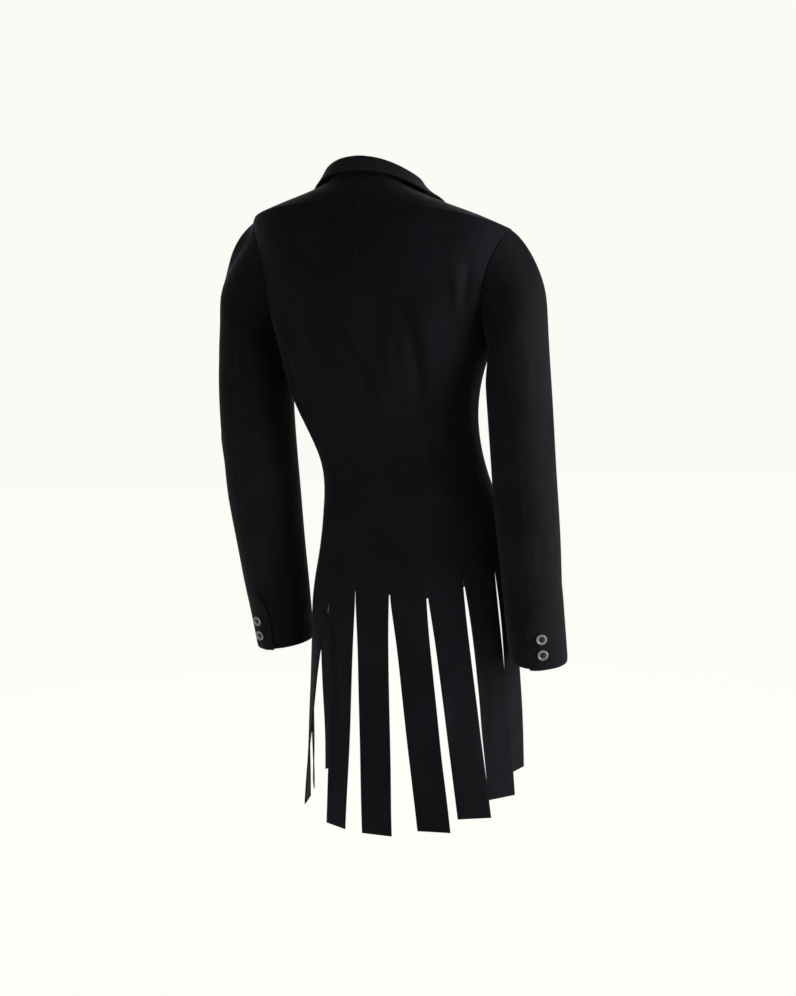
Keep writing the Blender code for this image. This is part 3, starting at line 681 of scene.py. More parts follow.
@dataclass
class ClothPiece:
    """One cut piece of cloth, grown from the outer face of its solid."""

    node: str
    slot: Slot
    finish: str
    flat: tuple[float, float]
    area: float
    hem_level: float = NOWHERE
    stitched: Edge = Edge.NONE
    faced: bool = False
    thickness: float = 0.0014
    roll_depth: float = 0.0007
    stitch_lift: float = 0.00008
    hem_slope: float = 0.6
    facing_level: float = -0.615
    fold_angle: float = 72.0
    levels: int = 2
    softened: int = 2
    sheet: BMesh | None = field(default=None, repr=False)
    rows: list[list[Vector]] = field(default_factory=list, repr=False)
    rim: list[tuple[Vector, Vector, Vector, Vector]] = field(default_factory=list, repr=False)

    @staticmethod
    def facing_out(patch: list[BMFace]) -> float:
        """Measures how far a patch of faces looks away from its own middle.

        Args:
            patch: The faces.

        Returns:
            The measure, above zero where the patch faces out.
        """
        areas = [face.calc_area() for face in patch]
        middle = sum((face.calc_center_median() * area for face, area in zip(patch, areas)), Vector()) / sum(areas)
        return sum(face.normal.dot(face.calc_center_median() - middle) * area for face, area in zip(patch, areas))

    def patches(self, sheet: BMesh) -> list[list[BMFace]]:
        """Sorts a closed mesh into its walls, which meet at sharp edges.

        Args:
            sheet: The closed mesh.

        Returns:
            The walls' faces, smallest wall first.
        """
        unseen, found = set(sheet.faces), []
        while unseen:
            patch, queue = [], [unseen.pop()]
            while queue:
                face = queue.pop()
                patch.append(face)
                for edge in face.edges:
                    if len(edge.link_faces) == 2 and edge.calc_face_angle(0.0) < math.radians(self.fold_angle):
                        for other in edge.link_faces:
                            if other in unseen:
                                unseen.discard(other)
                                queue.append(other)
            found.append(patch)
        found.sort(key=lambda patch: sum(face.calc_area() for face in patch))
        return found

    def take_outer_face(self, solid: Object) -> None:
        """Copies the solid's outer face as a sheet of four-sided faces.

        Args:
            solid: The solid's node.
        """
        sheet = bmesh.new()
        sheet.from_mesh(solid.data)
        bmesh.ops.remove_doubles(sheet, verts=sheet.verts, dist=SOLID_WELD)
        kept = set(max(self.patches(sheet)[-2:], key=self.facing_out))
        added = True
        while added:
            added = {
                face
                for face in sheet.faces
                if face not in kept and sum(any(other in kept for other in edge.link_faces) for edge in face.edges) > 1
            }
            kept |= added
        bmesh.ops.delete(sheet, geom=[face for face in sheet.faces if face not in kept], context="FACES")
        slanting = []
        for edge in sheet.edges:
            sides = [other.calc_length() for face in edge.link_faces for other in face.edges if other is not edge]
            if len(edge.link_faces) == 2 and edge.calc_length() > max(sides):
                slanting.append(edge)
        bmesh.ops.dissolve_edges(sheet, edges=slanting, use_verts=False)
        bmesh.ops.join_triangles(
            sheet,
            faces=[face for face in sheet.faces if len(face.verts) == 3],
            angle_face_threshold=math.radians(JOINED_BEND),
            angle_shape_threshold=math.radians(JOINED_SHAPE),
        )
        self.sheet = sheet

    def places(self) -> np.ndarray:
        """Reads the sheet's points, one a row."""
        return np.array([vert.co for vert in self.sheet.verts])

    def corners(self) -> list[Vector]:
        """Finds the sheet's corners, where its boundary turns sharply.

        Returns:
            The corner points.
        """
        found = []
        for vert in self.sheet.verts:
            ends = [edge.other_vert(vert).co - vert.co for edge in vert.link_edges if edge.is_boundary]
            if len(ends) == 2 and ends[0].angle(ends[1]) < math.radians(CORNER_ANGLE):
                found.append(vert.co.copy())
        return found

    def smooth(self, corners: list[Vector]) -> None:
        """Subdivides the sheet smoothly, keeping it on its neighbours at the corners of any piece.

        Args:
            corners: Corner points of every piece.
        """
        held = self.sheet.verts.layers.float.new("crease_vert")
        for vert in self.sheet.verts:
            if vert.is_boundary and any((vert.co - corner).length < CORNER_REACH for corner in corners):
                vert[held] = 1.0
        rough = new_object(f"rough_{self.node}", plain_mesh(self.sheet, self.node))
        divide = rough.modifiers.new("smooth", "SUBSURF")
        divide.levels = divide.render_levels = self.levels
        divide.boundary_smooth = "PRESERVE_CORNERS"
        self.sheet = bmesh.new()
        self.sheet.from_mesh(applied(rough, f"smooth_{self.node}"))
        inside = [vert for vert in self.sheet.verts if not vert.is_boundary]
        for _ in range(self.softened):
            bmesh.ops.smooth_vert(
                self.sheet, verts=inside, factor=0.5, use_axis_x=True, use_axis_y=True, use_axis_z=True
            )

    def crease(self, creases: list[Crease]) -> None:
        """Moves the sheet along its normals by the creases and a faint unevenness.

        Args:
            creases: Creases of the whole garment.
        """
        self.sheet.normal_update()
        places = self.places()
        normals = np.array([vert.normal for vert in self.sheet.verts])
        lifts = sum(crease.lift_at(places) for crease in creases)
        for scale, depth, shift in UNEVENNESS:
            lifts = lifts + depth * np.sin(places @ np.array(scale) + shift)
        for vert, place in zip(self.sheet.verts, places + lifts[:, None] * normals):
            vert.co = place

    def roll_edges(self) -> None:
        """Lowers the boundary a little, as a turned edge."""
        self.sheet.normal_update()
        lowered = [(vert, vert.co - self.roll_depth * vert.normal) for vert in self.sheet.verts if vert.is_boundary]
        for vert, place in lowered:
            vert.co = place

    def boundary(self) -> tuple[list[BMEdge], list[BMEdge]]:
        """Sorts the boundary.

        Returns:
            All boundary edges, and those of the hem.
        """
        edges = [edge for edge in self.sheet.edges if edge.is_boundary]
        hem = []
        for edge in edges:
            run = edge.verts[1].co - edge.verts[0].co
            if edge.verts[0].co.z < self.hem_level and abs(run.z) < self.hem_slope * run.length:
                hem.append(edge)
        return edges, hem

    def mark_distances(self) -> None:
        """Stores each point's distance to the boundary and to the hem, for the material."""
        edges, hem = self.boundary()
        places = self.places()
        for name, chosen in (("to_edge", edges), ("to_hem", hem)):
            starts = np.array([edge.verts[0].co for edge in chosen]).reshape(-1, 3)
            ends = np.array([edge.verts[1].co for edge in chosen]).reshape(-1, 3)
            layer = self.sheet.verts.layers.float.new(name)
            for vert, distance in zip(self.sheet.verts, segment_distance(places, starts, ends)):
                vert[layer] = distance

    def collect_rows(self) -> None:
        """Collects guide lines for stitches, a short way in from the stitched edges."""
        edges, hem = self.boundary()
        chosen = {Edge.HEM: hem, Edge.FRONT: [edge for edge in edges if edge not in hem], Edge.NONE: []}[self.stitched]
        for edge in chosen:
            out = (self.roll_depth / 2 + self.stitch_lift) * edge.link_faces[0].normal
            shift = STITCH_INSETS[self.stitched] * inward_of(edge) + out
            self.rows.append([edge.verts[0].co + shift, edge.verts[1].co + shift])

    def collect_rim(self) -> None:
        """Keeps each boundary edge with its inward direction and its normal, for the seam allowances."""
        for edge in self.sheet.edges:
            if edge.is_boundary:
                ends = [vert.co.copy() for vert in edge.verts]
                self.rim.append((*ends, inward_of(edge), edge.link_faces[0].normal.copy()))

    def unwrap(self) -> None:
        """Gives the sheet a map in metres: round the piece's own upright axis, and up it."""
        places = self.places()
        middle = np.array([np.polyval(np.polyfit(places[:, 2], places[:, k], 2), places[:, 2]) for k in (0, 1)]).T
        centre = middle if self.slot in (Slot.TOP_SLEEVE, Slot.UNDER_SLEEVE) else BODY_AXIS
        off = places[:, :2] - centre
        lead = off.mean(axis=0)
        turned = np.arctan2(lead[0] * off[:, 1] - lead[1] * off[:, 0], off @ lead)
        radius = np.linalg.norm(off, axis=1).mean()
        layer = self.sheet.loops.layers.uv.new("UVMap")
        across = {vert: (radius * turn, vert.co.z) for vert, turn in zip(self.sheet.verts, turned)}
        for face in self.sheet.faces:
            for loop in face.loops:
                loop[layer].uv = across[loop.vert]

    def give_thickness(self, wool: Material, inside: Material) -> Object:
        """Makes the sheet a thin shell with its materials.

        Args:
            wool: Material of the outer face and the rims.
            inside: Material of the inner face.

        Returns:
            The finished object.
        """
        mesh = plain_mesh(self.sheet, self.node)
        mesh.materials.append(wool)
        mesh.materials.append(inside)
        thin = new_object(f"thin_{self.node}", mesh)
        shell = thin.modifiers.new("wall", "SOLIDIFY")
        shell.thickness, shell.offset = self.thickness, -1.0
        shell.use_quality_normals = True
        shell.material_offset = 1
        made = applied(thin, f"cloth_{self.node}")
        for face in made.polygons:
            if self.faced or face.center.z < self.facing_level:
                face.material_index = 0
        made.shade_smooth()
        made.set_sharp_from_angle(angle=math.radians(WALL_SHARP))
        return new_object(f"cloth_{self.node}", made)

    def build(self, corners: list[Vector], creases: list[Crease], finishes: dict[str, Material]) -> None:
        """Builds and dresses the piece, and puts it in place of its solid.

        Args:
            corners: Corner points of every piece.
            creases: Creases of the whole garment.
            finishes: Materials by name.
        """
        self.smooth(corners)
        self.crease(creases)
        if self.slot not in (Slot.LAPEL, Slot.COLLAR):
            self.collect_rim()
        self.roll_edges()
        self.mark_distances()
        self.unwrap()
        self.collect_rows()
        made = self.give_thickness(finishes[self.finish], finishes["satin_lining"])
        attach(made, "root")
        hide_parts(self.node)
        LOG.info("%s: %d faces", made.name, len(made.data.polygons))


# Geometry Nodes for stitches and threads


def dress(wires: Wires, pieces: Socket, material: Socket, out: Node) -> NodeTree:
    """Ends a tree: makes its pieces real, gives them the material and puts them out.

    Args:
        wires: Wires of the tree.
        pieces: Instances or mesh that it has made.
        material: Material that it is given.
        out: Output node of the tree.

    Returns:
        The tree.
    """
    real = wires.node("GeometryNodeRealizeInstances", {"Geometry": pieces})
    dressed = wires.node("GeometryNodeSetMaterial", {"Geometry": real["Geometry"], "Material": material})
    wires.fill(out, {"Geometry": dressed["Geometry"]})
    return wires.tree


def pick_stitch_tree() -> NodeTree:
    """Builds the tree that lays small stitches along guide lines.

    Returns:
        The tree.
    """
    wires, given, out = start_tree(
        "GeometryNodeTree",
        "pick_stitches",
        {
            "Geometry": ("Geometry", None),
            "Spacing": ("Float", 0.0036),
            "Length": ("Float", 0.0016),
            "Thickness": ("Float", 0.00030),
            "Seed": ("Int", 7),
            "Material": ("Material", None),
        },
        {"Geometry": "Geometry"},
    )
    curve = wires.node("GeometryNodeMeshToCurve", {"Mesh": given["Geometry"]})
    lengths = {"Curve": curve["Curve"], "Length": given["Spacing"]}
    even = wires.node("GeometryNodeResampleCurve", lengths, mode="LENGTH")
    bead = wires.node("GeometryNodeMeshUVSphere", {"Segments": 6, "Rings": 4, "Radius": 0.5})
    tangent = wires.node("GeometryNodeInputTangent", {})
    aim = wires.node("FunctionNodeAlignRotationToVector", {"Vector": tangent["Tangent"]}, axis="X")
    sides = {"X": given["Length"], "Y": given["Thickness"], "Z": given["Thickness"]}
    size = wires.node("ShaderNodeCombineXYZ", sides)
    spread = {2: PICK_SIZES[0], 3: PICK_SIZES[1], "Seed": given["Seed"]}
    uneven = wires.node("FunctionNodeRandomValue", spread, data_type="FLOAT")
    scale = wires.node("ShaderNodeVectorMath", {0: size[0], "Scale": uneven[1]}, operation="SCALE")
    placed = wires.node(
        "GeometryNodeInstanceOnPoints",
        {"Points": even["Curve"], "Instance": bead["Mesh"], "Rotation": aim["Rotation"], "Scale": scale["Vector"]},
    )
    return dress(wires, placed["Instances"], given["Material"], out)


def thread_tree() -> NodeTree:
    """Builds the tree that turns guide lines into round thread.

    Returns:
        The tree.
    """
    wires, given, out = start_tree(
        "GeometryNodeTree",
        "thread_runs",
        {"Geometry": ("Geometry", None), "Thickness": ("Float", 0.0005), "Material": ("Material", None)},
        {"Geometry": "Geometry"},
    )
    curve = wires.node("GeometryNodeMeshToCurve", {"Mesh": given["Geometry"]})
    radius = wires.times(given["Thickness"], 0.5)
    ring = wires.node("GeometryNodeCurvePrimitiveCircle", {"Resolution": 8, "Radius": radius})
    sweep = {"Curve": curve["Curve"], "Profile Curve": ring["Curve"], "Fill Caps": True}
    tube = wires.node("GeometryNodeCurveToMesh", sweep)
    return dress(wires, tube["Mesh"], given["Material"], out)


def along_lines(name: str, lines: list[list[Vector]], tree: NodeTree, values: dict[str, object]) -> None:
    """Runs a Geometry Nodes tree on guide lines and keeps the plain mesh, which rides on the garment.

    Args:
        name: Name of the piece.
        lines: Guide lines, each a list of points.
        tree: The tree.
        values: Values of the tree's inputs by name.
    """
    guide = bmesh.new()
    for line in lines:
        verts = [guide.verts.new(point) for point in line]
        for first, second in zip(verts, verts[1:]):
            guide.edges.new((first, second))
    bmesh.ops.remove_doubles(guide, verts=guide.verts, dist=GUIDE_WELD)
    source = new_object(f"guide_{name}", plain_mesh(guide, name))
    modifier = source.modifiers.new("rows", "NODES")
    modifier.node_group = tree
    for item in tree.interface.items_tree:
        if item.in_out == "INPUT" and item.name in values:
            modifier[item.identifier] = values[item.name]
    made = new_object(name, applied(source, name))
    made.data.shade_smooth()
    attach(made, "root")
    LOG.info("%s: %d faces", name, len(made.data.polygons))


# Buttons


@dataclass
class Button:
    """Dished button with a raised rim and four holes, sewn on with two runs of thread."""

    node: str
    diameter: float
    thickness: float
    sides: int = 48
    hole: float = 0.00085
    hole_offset: float = 0.0013
    rim_starts: float = 0.26
    rim_fade: float = 0.07
    dish: float = 0.60
    thread_gap: float = 0.00018
    thread_rise: float = 0.00055
    thread_dip: float = 0.0008
    thread_steps: int = 8

    def seat(self, solid: Object, towards: Vector) -> Matrix:
        """Works out where the button lies from its solid.

        Args:
            solid: The button's node.
            towards: A direction that points away from the cloth.

        Returns:
            Matrix that takes the button's own axes, with +Z out of the cloth, to the garment.
        """
        places = mesh_points(solid.data)
        middle = (places.max(0) + places.min(0)) / 2
        axis = Vector(np.linalg.svd(places - middle)[2][2])
        if axis.dot(towards) < 0:
            axis = -axis
        low = min(float((place - middle) @ np.array(axis)) for place in places)
        across = axis.cross(Vector((0, 0, 1))).normalized()
        turned = Matrix((across, axis.cross(across), axis)).transposed().to_4x4()
        return Matrix.Translation(Vector(middle) + low * axis) @ turned

    def profile(self) -> list[tuple[float, float]]:
        """Lists the rings of the button, from its back to the middle of its dish.

        Returns:
            Radius and height of each ring.
        """
        r, t = self.diameter / 2, self.thickness
        rows = [(0.70, 0.0), (0.86, 0.06), (0.95, 0.25), (0.995, 0.50), (0.985, 0.72), (0.94, 0.90), (0.88, 0.985)]
        rows += [(0.82, 1.0), (0.765, 0.96), (0.72, 0.86), (0.68, 0.72), (0.62, 0.64), (0.50, 0.60), (0.30, 0.585)]
        return [(a * r, b * t) for a, b in rows]

    def disc(self) -> Mesh:
        """Turns the profile into a closed disc.

        Returns:
            The disc, with a mask of its rim, where the material paints the rim's highlight.
        """
        made = bmesh.new()
        rim = made.verts.layers.float.new("rim")
        rings = []
        for radius, height in self.profile():
            ring = []
            for k in range(self.sides):
                turn = 2 * math.pi * k / self.sides
                vert = made.verts.new((radius * math.cos(turn), radius * math.sin(turn), height))
                # Share of the rim, where the button's material paints a highlight
                vert[rim] = min(1.0, max(0.0, (radius / self.diameter - self.rim_starts) / self.rim_fade))
                ring.append(vert)
            rings.append(ring)
        for low, high in zip(rings, rings[1:]):
            for k in range(self.sides):
                j = (k + 1) % self.sides
                made.faces.new((low[k], low[j], high[j], high[k]))
        made.faces.new(list(reversed(rings[0])))
        made.faces.new(rings[-1])
        return plain_mesh(made, self.node)

    def holes(self) -> Object:
        """Makes the four pins that cut the holes.

        Returns:
            One object that holds the pins.
        """
        cutter = bmesh.new()
        for x in (-1, 1):
            for y in (-1, 1):
                place = Matrix.Translation((x * self.hole_offset, y * self.hole_offset, self.thickness / 2))
                sizes = {"radius1": self.hole, "radius2": self.hole, "depth": 2 * self.thickness}
                bmesh.ops.create_cone(cutter, cap_ends=True, segments=16, matrix=place, **sizes)
        return new_object("holes", plain_mesh(cutter, "holes"))

    def threads(self, place: Matrix) -> list[list[Vector]]:
        """Lists the guide lines of the threads over the dish, in the garment's axes.

        Args:
            place: Where the button lies.

        Returns:
            One line for each run.
        """
        lines = []
        for x in (-1, 1):
            for shift in (-self.thread_gap, self.thread_gap):
                points = []
                for k in range(self.thread_steps + 1):
                    share = 2 * k / self.thread_steps - 1
                    rise = self.thread_rise * (1 - share**4) + (-self.thread_dip if abs(share) == 1 else 0.0)
                    spot = (x * self.hole_offset + shift, share * self.hole_offset, self.dish * self.thickness + rise)
                    points.append(place @ Vector(spot))
                lines.append(points)
        return lines

    def build(self, solid: Object, towards: Vector, finish: Material) -> list[list[Vector]]:
        """Builds the button in place of its solid.

        Args:
            solid: The button's node.
            towards: A direction that points away from the cloth.
            finish: Material of the button.

        Returns:
            Guide lines of its threads.
        """
        disc = new_object(f"disc_{self.node}", self.disc())
        cutter = self.holes()
        cut = disc.modifiers.new("holes", "BOOLEAN")
        cut.object, cut.solver, cut.operation = cutter, "EXACT", "DIFFERENCE"
        mesh = applied(disc, f"turned_{self.node}")
        bpy.data.objects.remove(cutter, do_unlink=True)
        place = self.seat(solid, towards)
        mesh.transform(place)
        mesh.materials.clear()
        mesh.materials.append(finish)
        mesh.shade_smooth()
        mesh.set_sharp_from_angle(angle=math.radians(BUTTON_SHARP))
        made = new_object(f"turned_{self.node}", mesh)
        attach(made, "root")
        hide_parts(self.node)
        LOG.info("%s: %d faces", made.name, len(made.data.polygons))
        return self.threads(place)


# The garment


@dataclass
class Blazer:
    """The whole garment: cloth pieces, stitches and buttons."""

    cloth: tuple[ClothPiece, ...]
    buttons: tuple[Button, ...]
    creases: tuple[Crease, ...]
    pick_spacing: float = 0.0036
    pick_length: float = 0.0015
    hem_spacing: float = 0.0075
    hem_length: float = 0.0011
    hem_thread: float = 0.00025
    button_thread: float = 0.0005
    allowance: float = 0.0026
    allowance_depth: float = 0.0023
    seam_reach: float = 0.0060
    same_way: float = 0.85
    neck_facing: float = -0.5
    neck_front: float = -0.010
    slit_level: float = -0.566
    neck_level: float = -0.020
    neck_slope: float = -0.25
    neck_inset: float = 0.0013
    neck_rise: float = 0.0040
    neck_overlap: float = 0.0034
    sleeve_reach: float = 0.04

    def finishes(self) -> dict[str, Material]:
        """Builds the materials and gives them by name."""
        groups = {"twill": Twill().group(), "nap": Nap().group(), "seam": PressedSeam().group()}
        return {row.name: row.make(groups) for row in (*WOOLS, LiningFinish(), ButtonFinish(), ThreadFinish())}

    def lying(self, inward: Vector, normal: Vector) -> Vector:
        """Gives the offset from a piece's edge to the far side of its allowance, which lies behind it."""
        return self.allowance * inward - self.allowance_depth * normal

    def seam_steps(self, inward: Vector, normal: Vector, other_inward: Vector, other_normal: Vector) -> list[Vector]:
        """Gives the offsets of a band across a seam: behind the one piece, at the seam and behind the other."""
        bend = -self.allowance_depth * (normal + other_normal).normalized()
        return [self.lying(inward, normal), bend, self.lying(other_inward, other_normal)]

    def neck_steps(self, inward: Vector, normal: Vector) -> list[Vector]:
        """Gives the offsets of a band at the neck: behind the piece, behind its edge and up into the collar."""
        behind = -self.neck_inset * Vector((normal.x, normal.y, 0.0)).normalized()
        return [self.lying(inward, normal), behind, behind + Vector((0.0, 0.0, self.neck_rise))]

    def add_allowances(self, wool: Material) -> None:
        """Lays the seam allowances: a narrow band behind each seam, bent as the two pieces are, and one at the neck.

        Args:
            wool: Material of the bands.
        """
        edges = [(place, piece, *row) for place, piece in enumerate(self.cloth) for row in piece.rim]
        owners = np.array([row[0] for row in edges])
        inwards = np.array([row[4] for row in edges])
        middles = np.array([(row[2] + row[3]) / 2 for row in edges])
        bands = bmesh.new()
        for (owner, piece, first, second, inward, normal), middle in zip(edges, middles):
            at_neck = middle[2] > self.neck_level and inward.z < self.neck_slope
            same_way = self.neck_facing if at_neck else self.same_way
            beside = (owners == owner) | (inwards @ np.array(inward) > same_way)
            away = np.where(beside, np.inf, np.linalg.norm(middles - middle, axis=1))
            nearest = int(away.argmin())
            hanging = piece.slot in (Slot.BODY, Slot.SIDE) and middle[2] < self.slit_level
            if away[nearest] <= self.seam_reach and not hanging and owners[nearest] > owner:
                steps, past = self.seam_steps(inward, normal, *edges[nearest][4:6]), Vector()
            elif away[nearest] > self.seam_reach and at_neck and middle[1] > self.neck_front:
                steps = self.neck_steps(inward, normal)
                past = self.neck_overlap * (second - first).normalized()
            else:
                continue
            rows = [(bands.verts.new(first - past + step), bands.verts.new(second + past + step)) for step in steps]
            for (a, b), (c, d) in zip(rows, rows[1:]):
                bands.faces.new((a, b, d, c))
        bmesh.ops.remove_doubles(bands, verts=bands.verts, dist=BAND_WELD)
        for name in ("to_edge", "to_hem"):
            layer = bands.verts.layers.float.new(name)
            for vert in bands.verts:
                vert[layer] = 1.0
        mesh = plain_mesh(bands, "seam_allowances")
        mesh.materials.append(wool)
        made = new_object("seam_allowances", mesh)
        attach(made, "root")
        LOG.info("%s: %d faces", made.name, len(made.data.polygons))

    def build(self, nodes: dict[str, Object]) -> None:
        """Builds every piece in place of its solid.

        Args:
            nodes: The solids' nodes by name.
        """
        finishes = self.finishes()
        corners: list[Vector] = []
        for piece in self.cloth:
            piece.take_outer_face(nodes[piece.node])
            corners += piece.corners()
        for piece in self.cloth:
            piece.build(corners, list(self.creases), finishes)
        self.add_allowances(finishes["wool_panels"])
        threads: list[list[Vector]] = []
        for button in self.buttons:
            carrier = Vector((0.0, 1.0, 0.0))
            if button.node.startswith("cuff"):
                middle = mesh_points(nodes[button.node].data).mean(0)
                sleeve = mesh_points(nodes["sleeve_under_" + button.node.split("_")[2]].data)
                near = sleeve[np.abs(sleeve[:, 2] - middle[2]) < self.sleeve_reach].mean(0)
                carrier = Vector(near - middle)
            threads += button.build(nodes[button.node], -carrier, finishes["polished_button"])
        thread, picks = finishes["sewing_thread"], pick_stitch_tree()
        rows = {edge: [row for piece in self.cloth if piece.stitched is edge for row in piece.rows] for edge in Edge}
        edge_pick = {"Spacing": self.pick_spacing, "Length": self.pick_length, "Material": thread}
        hem_pick = {"Spacing": self.hem_spacing, "Length": self.hem_length, "Thickness": self.hem_thread}
        run = {"Thickness": self.button_thread, "Material": thread}
        along_lines("edge_stitches", rows[Edge.FRONT], picks, edge_pick)
        along_lines("hem_stitches", rows[Edge.HEM], picks, {**hem_pick, "Material": thread})
        along_lines("button_threads", threads, thread_tree(), run)


# Stage


@dataclass
class Studio:
    """Pale floor, soft light and the camera."""

    floor_level: float = -1.060
    floor_radius: float = 30.0
    azimuth: float = 197.989
    elevation: float = 1.9075
    roll: float = -1.518
    target: tuple[float, float, float] = (-0.00976, 0.0, -0.4346)
    distance: float = 1.9931
    focal_pixels: float = 1365.0
    sensor_width: float = 36.0
    backdrop: Colour = (0.965, 0.956, 0.915, 1.0)
    floor_dark: Colour = (0.028, 0.028, 0.027, 1.0)
    floor_light: Colour = (0.032, 0.032, 0.031, 1.0)
    floor_grain: float = 3.0
    floor_glow: float = 0.99
    sky: Colour = (0.90, 0.92, 1.0, 1.0)
    ambient: float = 0.30

    def axes(self) -> tuple[Vector, Vector, Vector]:
        """Works out how the camera is turned.

        Returns:
            Its right, up and back directions.
        """
        a, e, r = (math.radians(value) for value in (self.azimuth, self.elevation, self.roll))
        back = Vector((math.sin(a) * math.cos(e), -math.cos(a) * math.cos(e), math.sin(e)))
        right = (-back).cross(Vector((0.0, 0.0, 1.0))).normalized()
        up = right.cross(-back)
        return math.cos(r) * right + math.sin(r) * up, math.cos(r) * up - math.sin(r) * right, back

    def add_camera(self) -> None:
        """Adds the camera at the photograph's angle."""
        right, up, back = self.axes()
        data = bpy.data.cameras.new("camera")
        data.sensor_width = self.sensor_width
        data.lens = self.focal_pixels / IMAGE_HEIGHT * self.sensor_width
        camera = new_object("camera", data)
        turned = Matrix((right, up, back)).transposed().to_4x4()
        camera.matrix_world = Matrix.Translation(Vector(self.target) + self.distance * back) @ turned
        bpy.context.scene.camera = camera

    def add_floor(self) -> None:
        """Adds a wide pale floor below the hem."""
        disc = bmesh.new()
        bmesh.ops.create_circle(disc, cap_ends=True, segments=96, radius=self.floor_radius)
        mesh = plain_mesh(disc, "floor")
        mesh.transform(Matrix.Translation((0.0, 0.0, self.floor_level)))
        made, wires, shader = new_material("pale_floor")
        grain = wires.noise(wires.node("ShaderNodeTexCoord", {})["Object"], self.floor_grain)
        looks = {
            "Base Color": wires.blend(grain, self.floor_dark, self.floor_light),
            "Roughness": 0.9,
            "Specular IOR Level": 0.1,
            "Emission Color": self.backdrop,
            "Emission Strength": self.floor_glow,
        }
        wires.fill(shader, looks)
        mesh.materials.append(made)
        floor = new_object("floor", mesh)

    def add_light(
        self, name: str, power: float, size: float, place: tuple[float, float, float], aim: float, spread: float
    ) -> None:
        """Adds an area light that faces the garment.

        Args:
            name: Name of the light.
            power: Power in watts.
            size: Side of the square, in metres.
            place: Sideways, upwards and towards the camera from the garment's middle, in metres.
            aim: Height of the point that it faces, above the garment's middle, in metres.
            spread: Width of its beam, in degrees.
        """
        right, up, back = self.axes()
        data = bpy.data.lights.new(name, "AREA")
        data.energy, data.size, data.shape = power, size, "SQUARE"
        data.spread = math.radians(spread)
        light = new_object(name, data)
        off = place[0] * right + place[1] * up + place[2] * back
        light.location = Vector(self.target) + off
        light.rotation_euler = (off - Vector((0.0, 0.0, aim))).to_track_quat("Z", "Y").to_euler()

    def add_world(self) -> None:
        """Lights the scene from all round with a soft sky in front of a pale backdrop."""
        world = bpy.data.worlds.new("pale")
        world.use_nodes = True
        wires, nodes = Wires(world.node_tree), world.node_tree.nodes
        wires.fill(nodes["Background"], {"Color": self.backdrop})
        seen = nodes["Background"].outputs[0]
        sky = wires.node("ShaderNodeBackground", {"Color": self.sky, "Strength": self.ambient})[0]
        rays = wires.node("ShaderNodeLightPath", {})["Is Camera Ray"]
        either = wires.node("ShaderNodeMixShader", {0: rays, 1: sky, 2: seen})
        wires.fill(nodes["World Output"], {"Surface": either[0]})
        bpy.context.scene.world = world
        bpy.context.scene.view_settings.view_transform = "Standard"

    def build(self) -> None:
        """Builds the stage."""
        self.add_floor()
        self.add_world()
        for row in LIGHTS:
            self.add_light(*row)
        self.add_camera()


LIGHTS = (
    ("key", 82.0, 1.5, (2.0, 0.25, 0.75), 0.0, 180.0),
    ("fill", 17.0, 1.8, (-1.4, -0.3, 1.6), 0.0, 180.0),
    ("far_side", 35.0, 2.4, (-0.4, 1.4, -2.0), 0.0, 180.0),
    ("skirt", 0.30, 0.5, (-0.5, 0.3, 2.3), -0.26, 17.0),
)

WOOLS = (
    WoolFinish(
        "wool_panels", (0.0015, 0.0014, 0.0023, 1.0), (0.0032, 0.0029, 0.0045, 1.0), (0.0110, 0.0104, 0.0122, 1.0)
    ),
    WoolFinish(
        "wool_sleeves", (0.0017, 0.0016, 0.0023, 1.0), (0.0034, 0.0031, 0.0043, 1.0), (0.0115, 0.0108, 0.0125, 1.0), 1.3
    ),
    WoolFinish(
        "wool_collar", (0.0026, 0.0025, 0.0031, 1.0), (0.0052, 0.0048, 0.0060, 1.0), (0.0150, 0.0140, 0.0160, 1.0), 0.6
    ),
)

# Distance of the stitches from the edge
STITCH_INSETS = {Edge.FRONT: 0.0030, Edge.HEM: 0.0235, Edge.NONE: 0.0}

# Upright axis of the body, sideways and forwards
BODY_AXIS = np.array([[0.0, -0.010]])

# Broad unevenness of the hanging cloth: waves a metre, depth and shift
UNEVENNESS = (
    ((31.0, 17.0, 22.0), 0.00035, 0.4),
    ((-19.0, 26.0, 37.0), 0.00030, 1.9),
    ((47.0, -38.0, -29.0), 0.00022, 3.1),
)

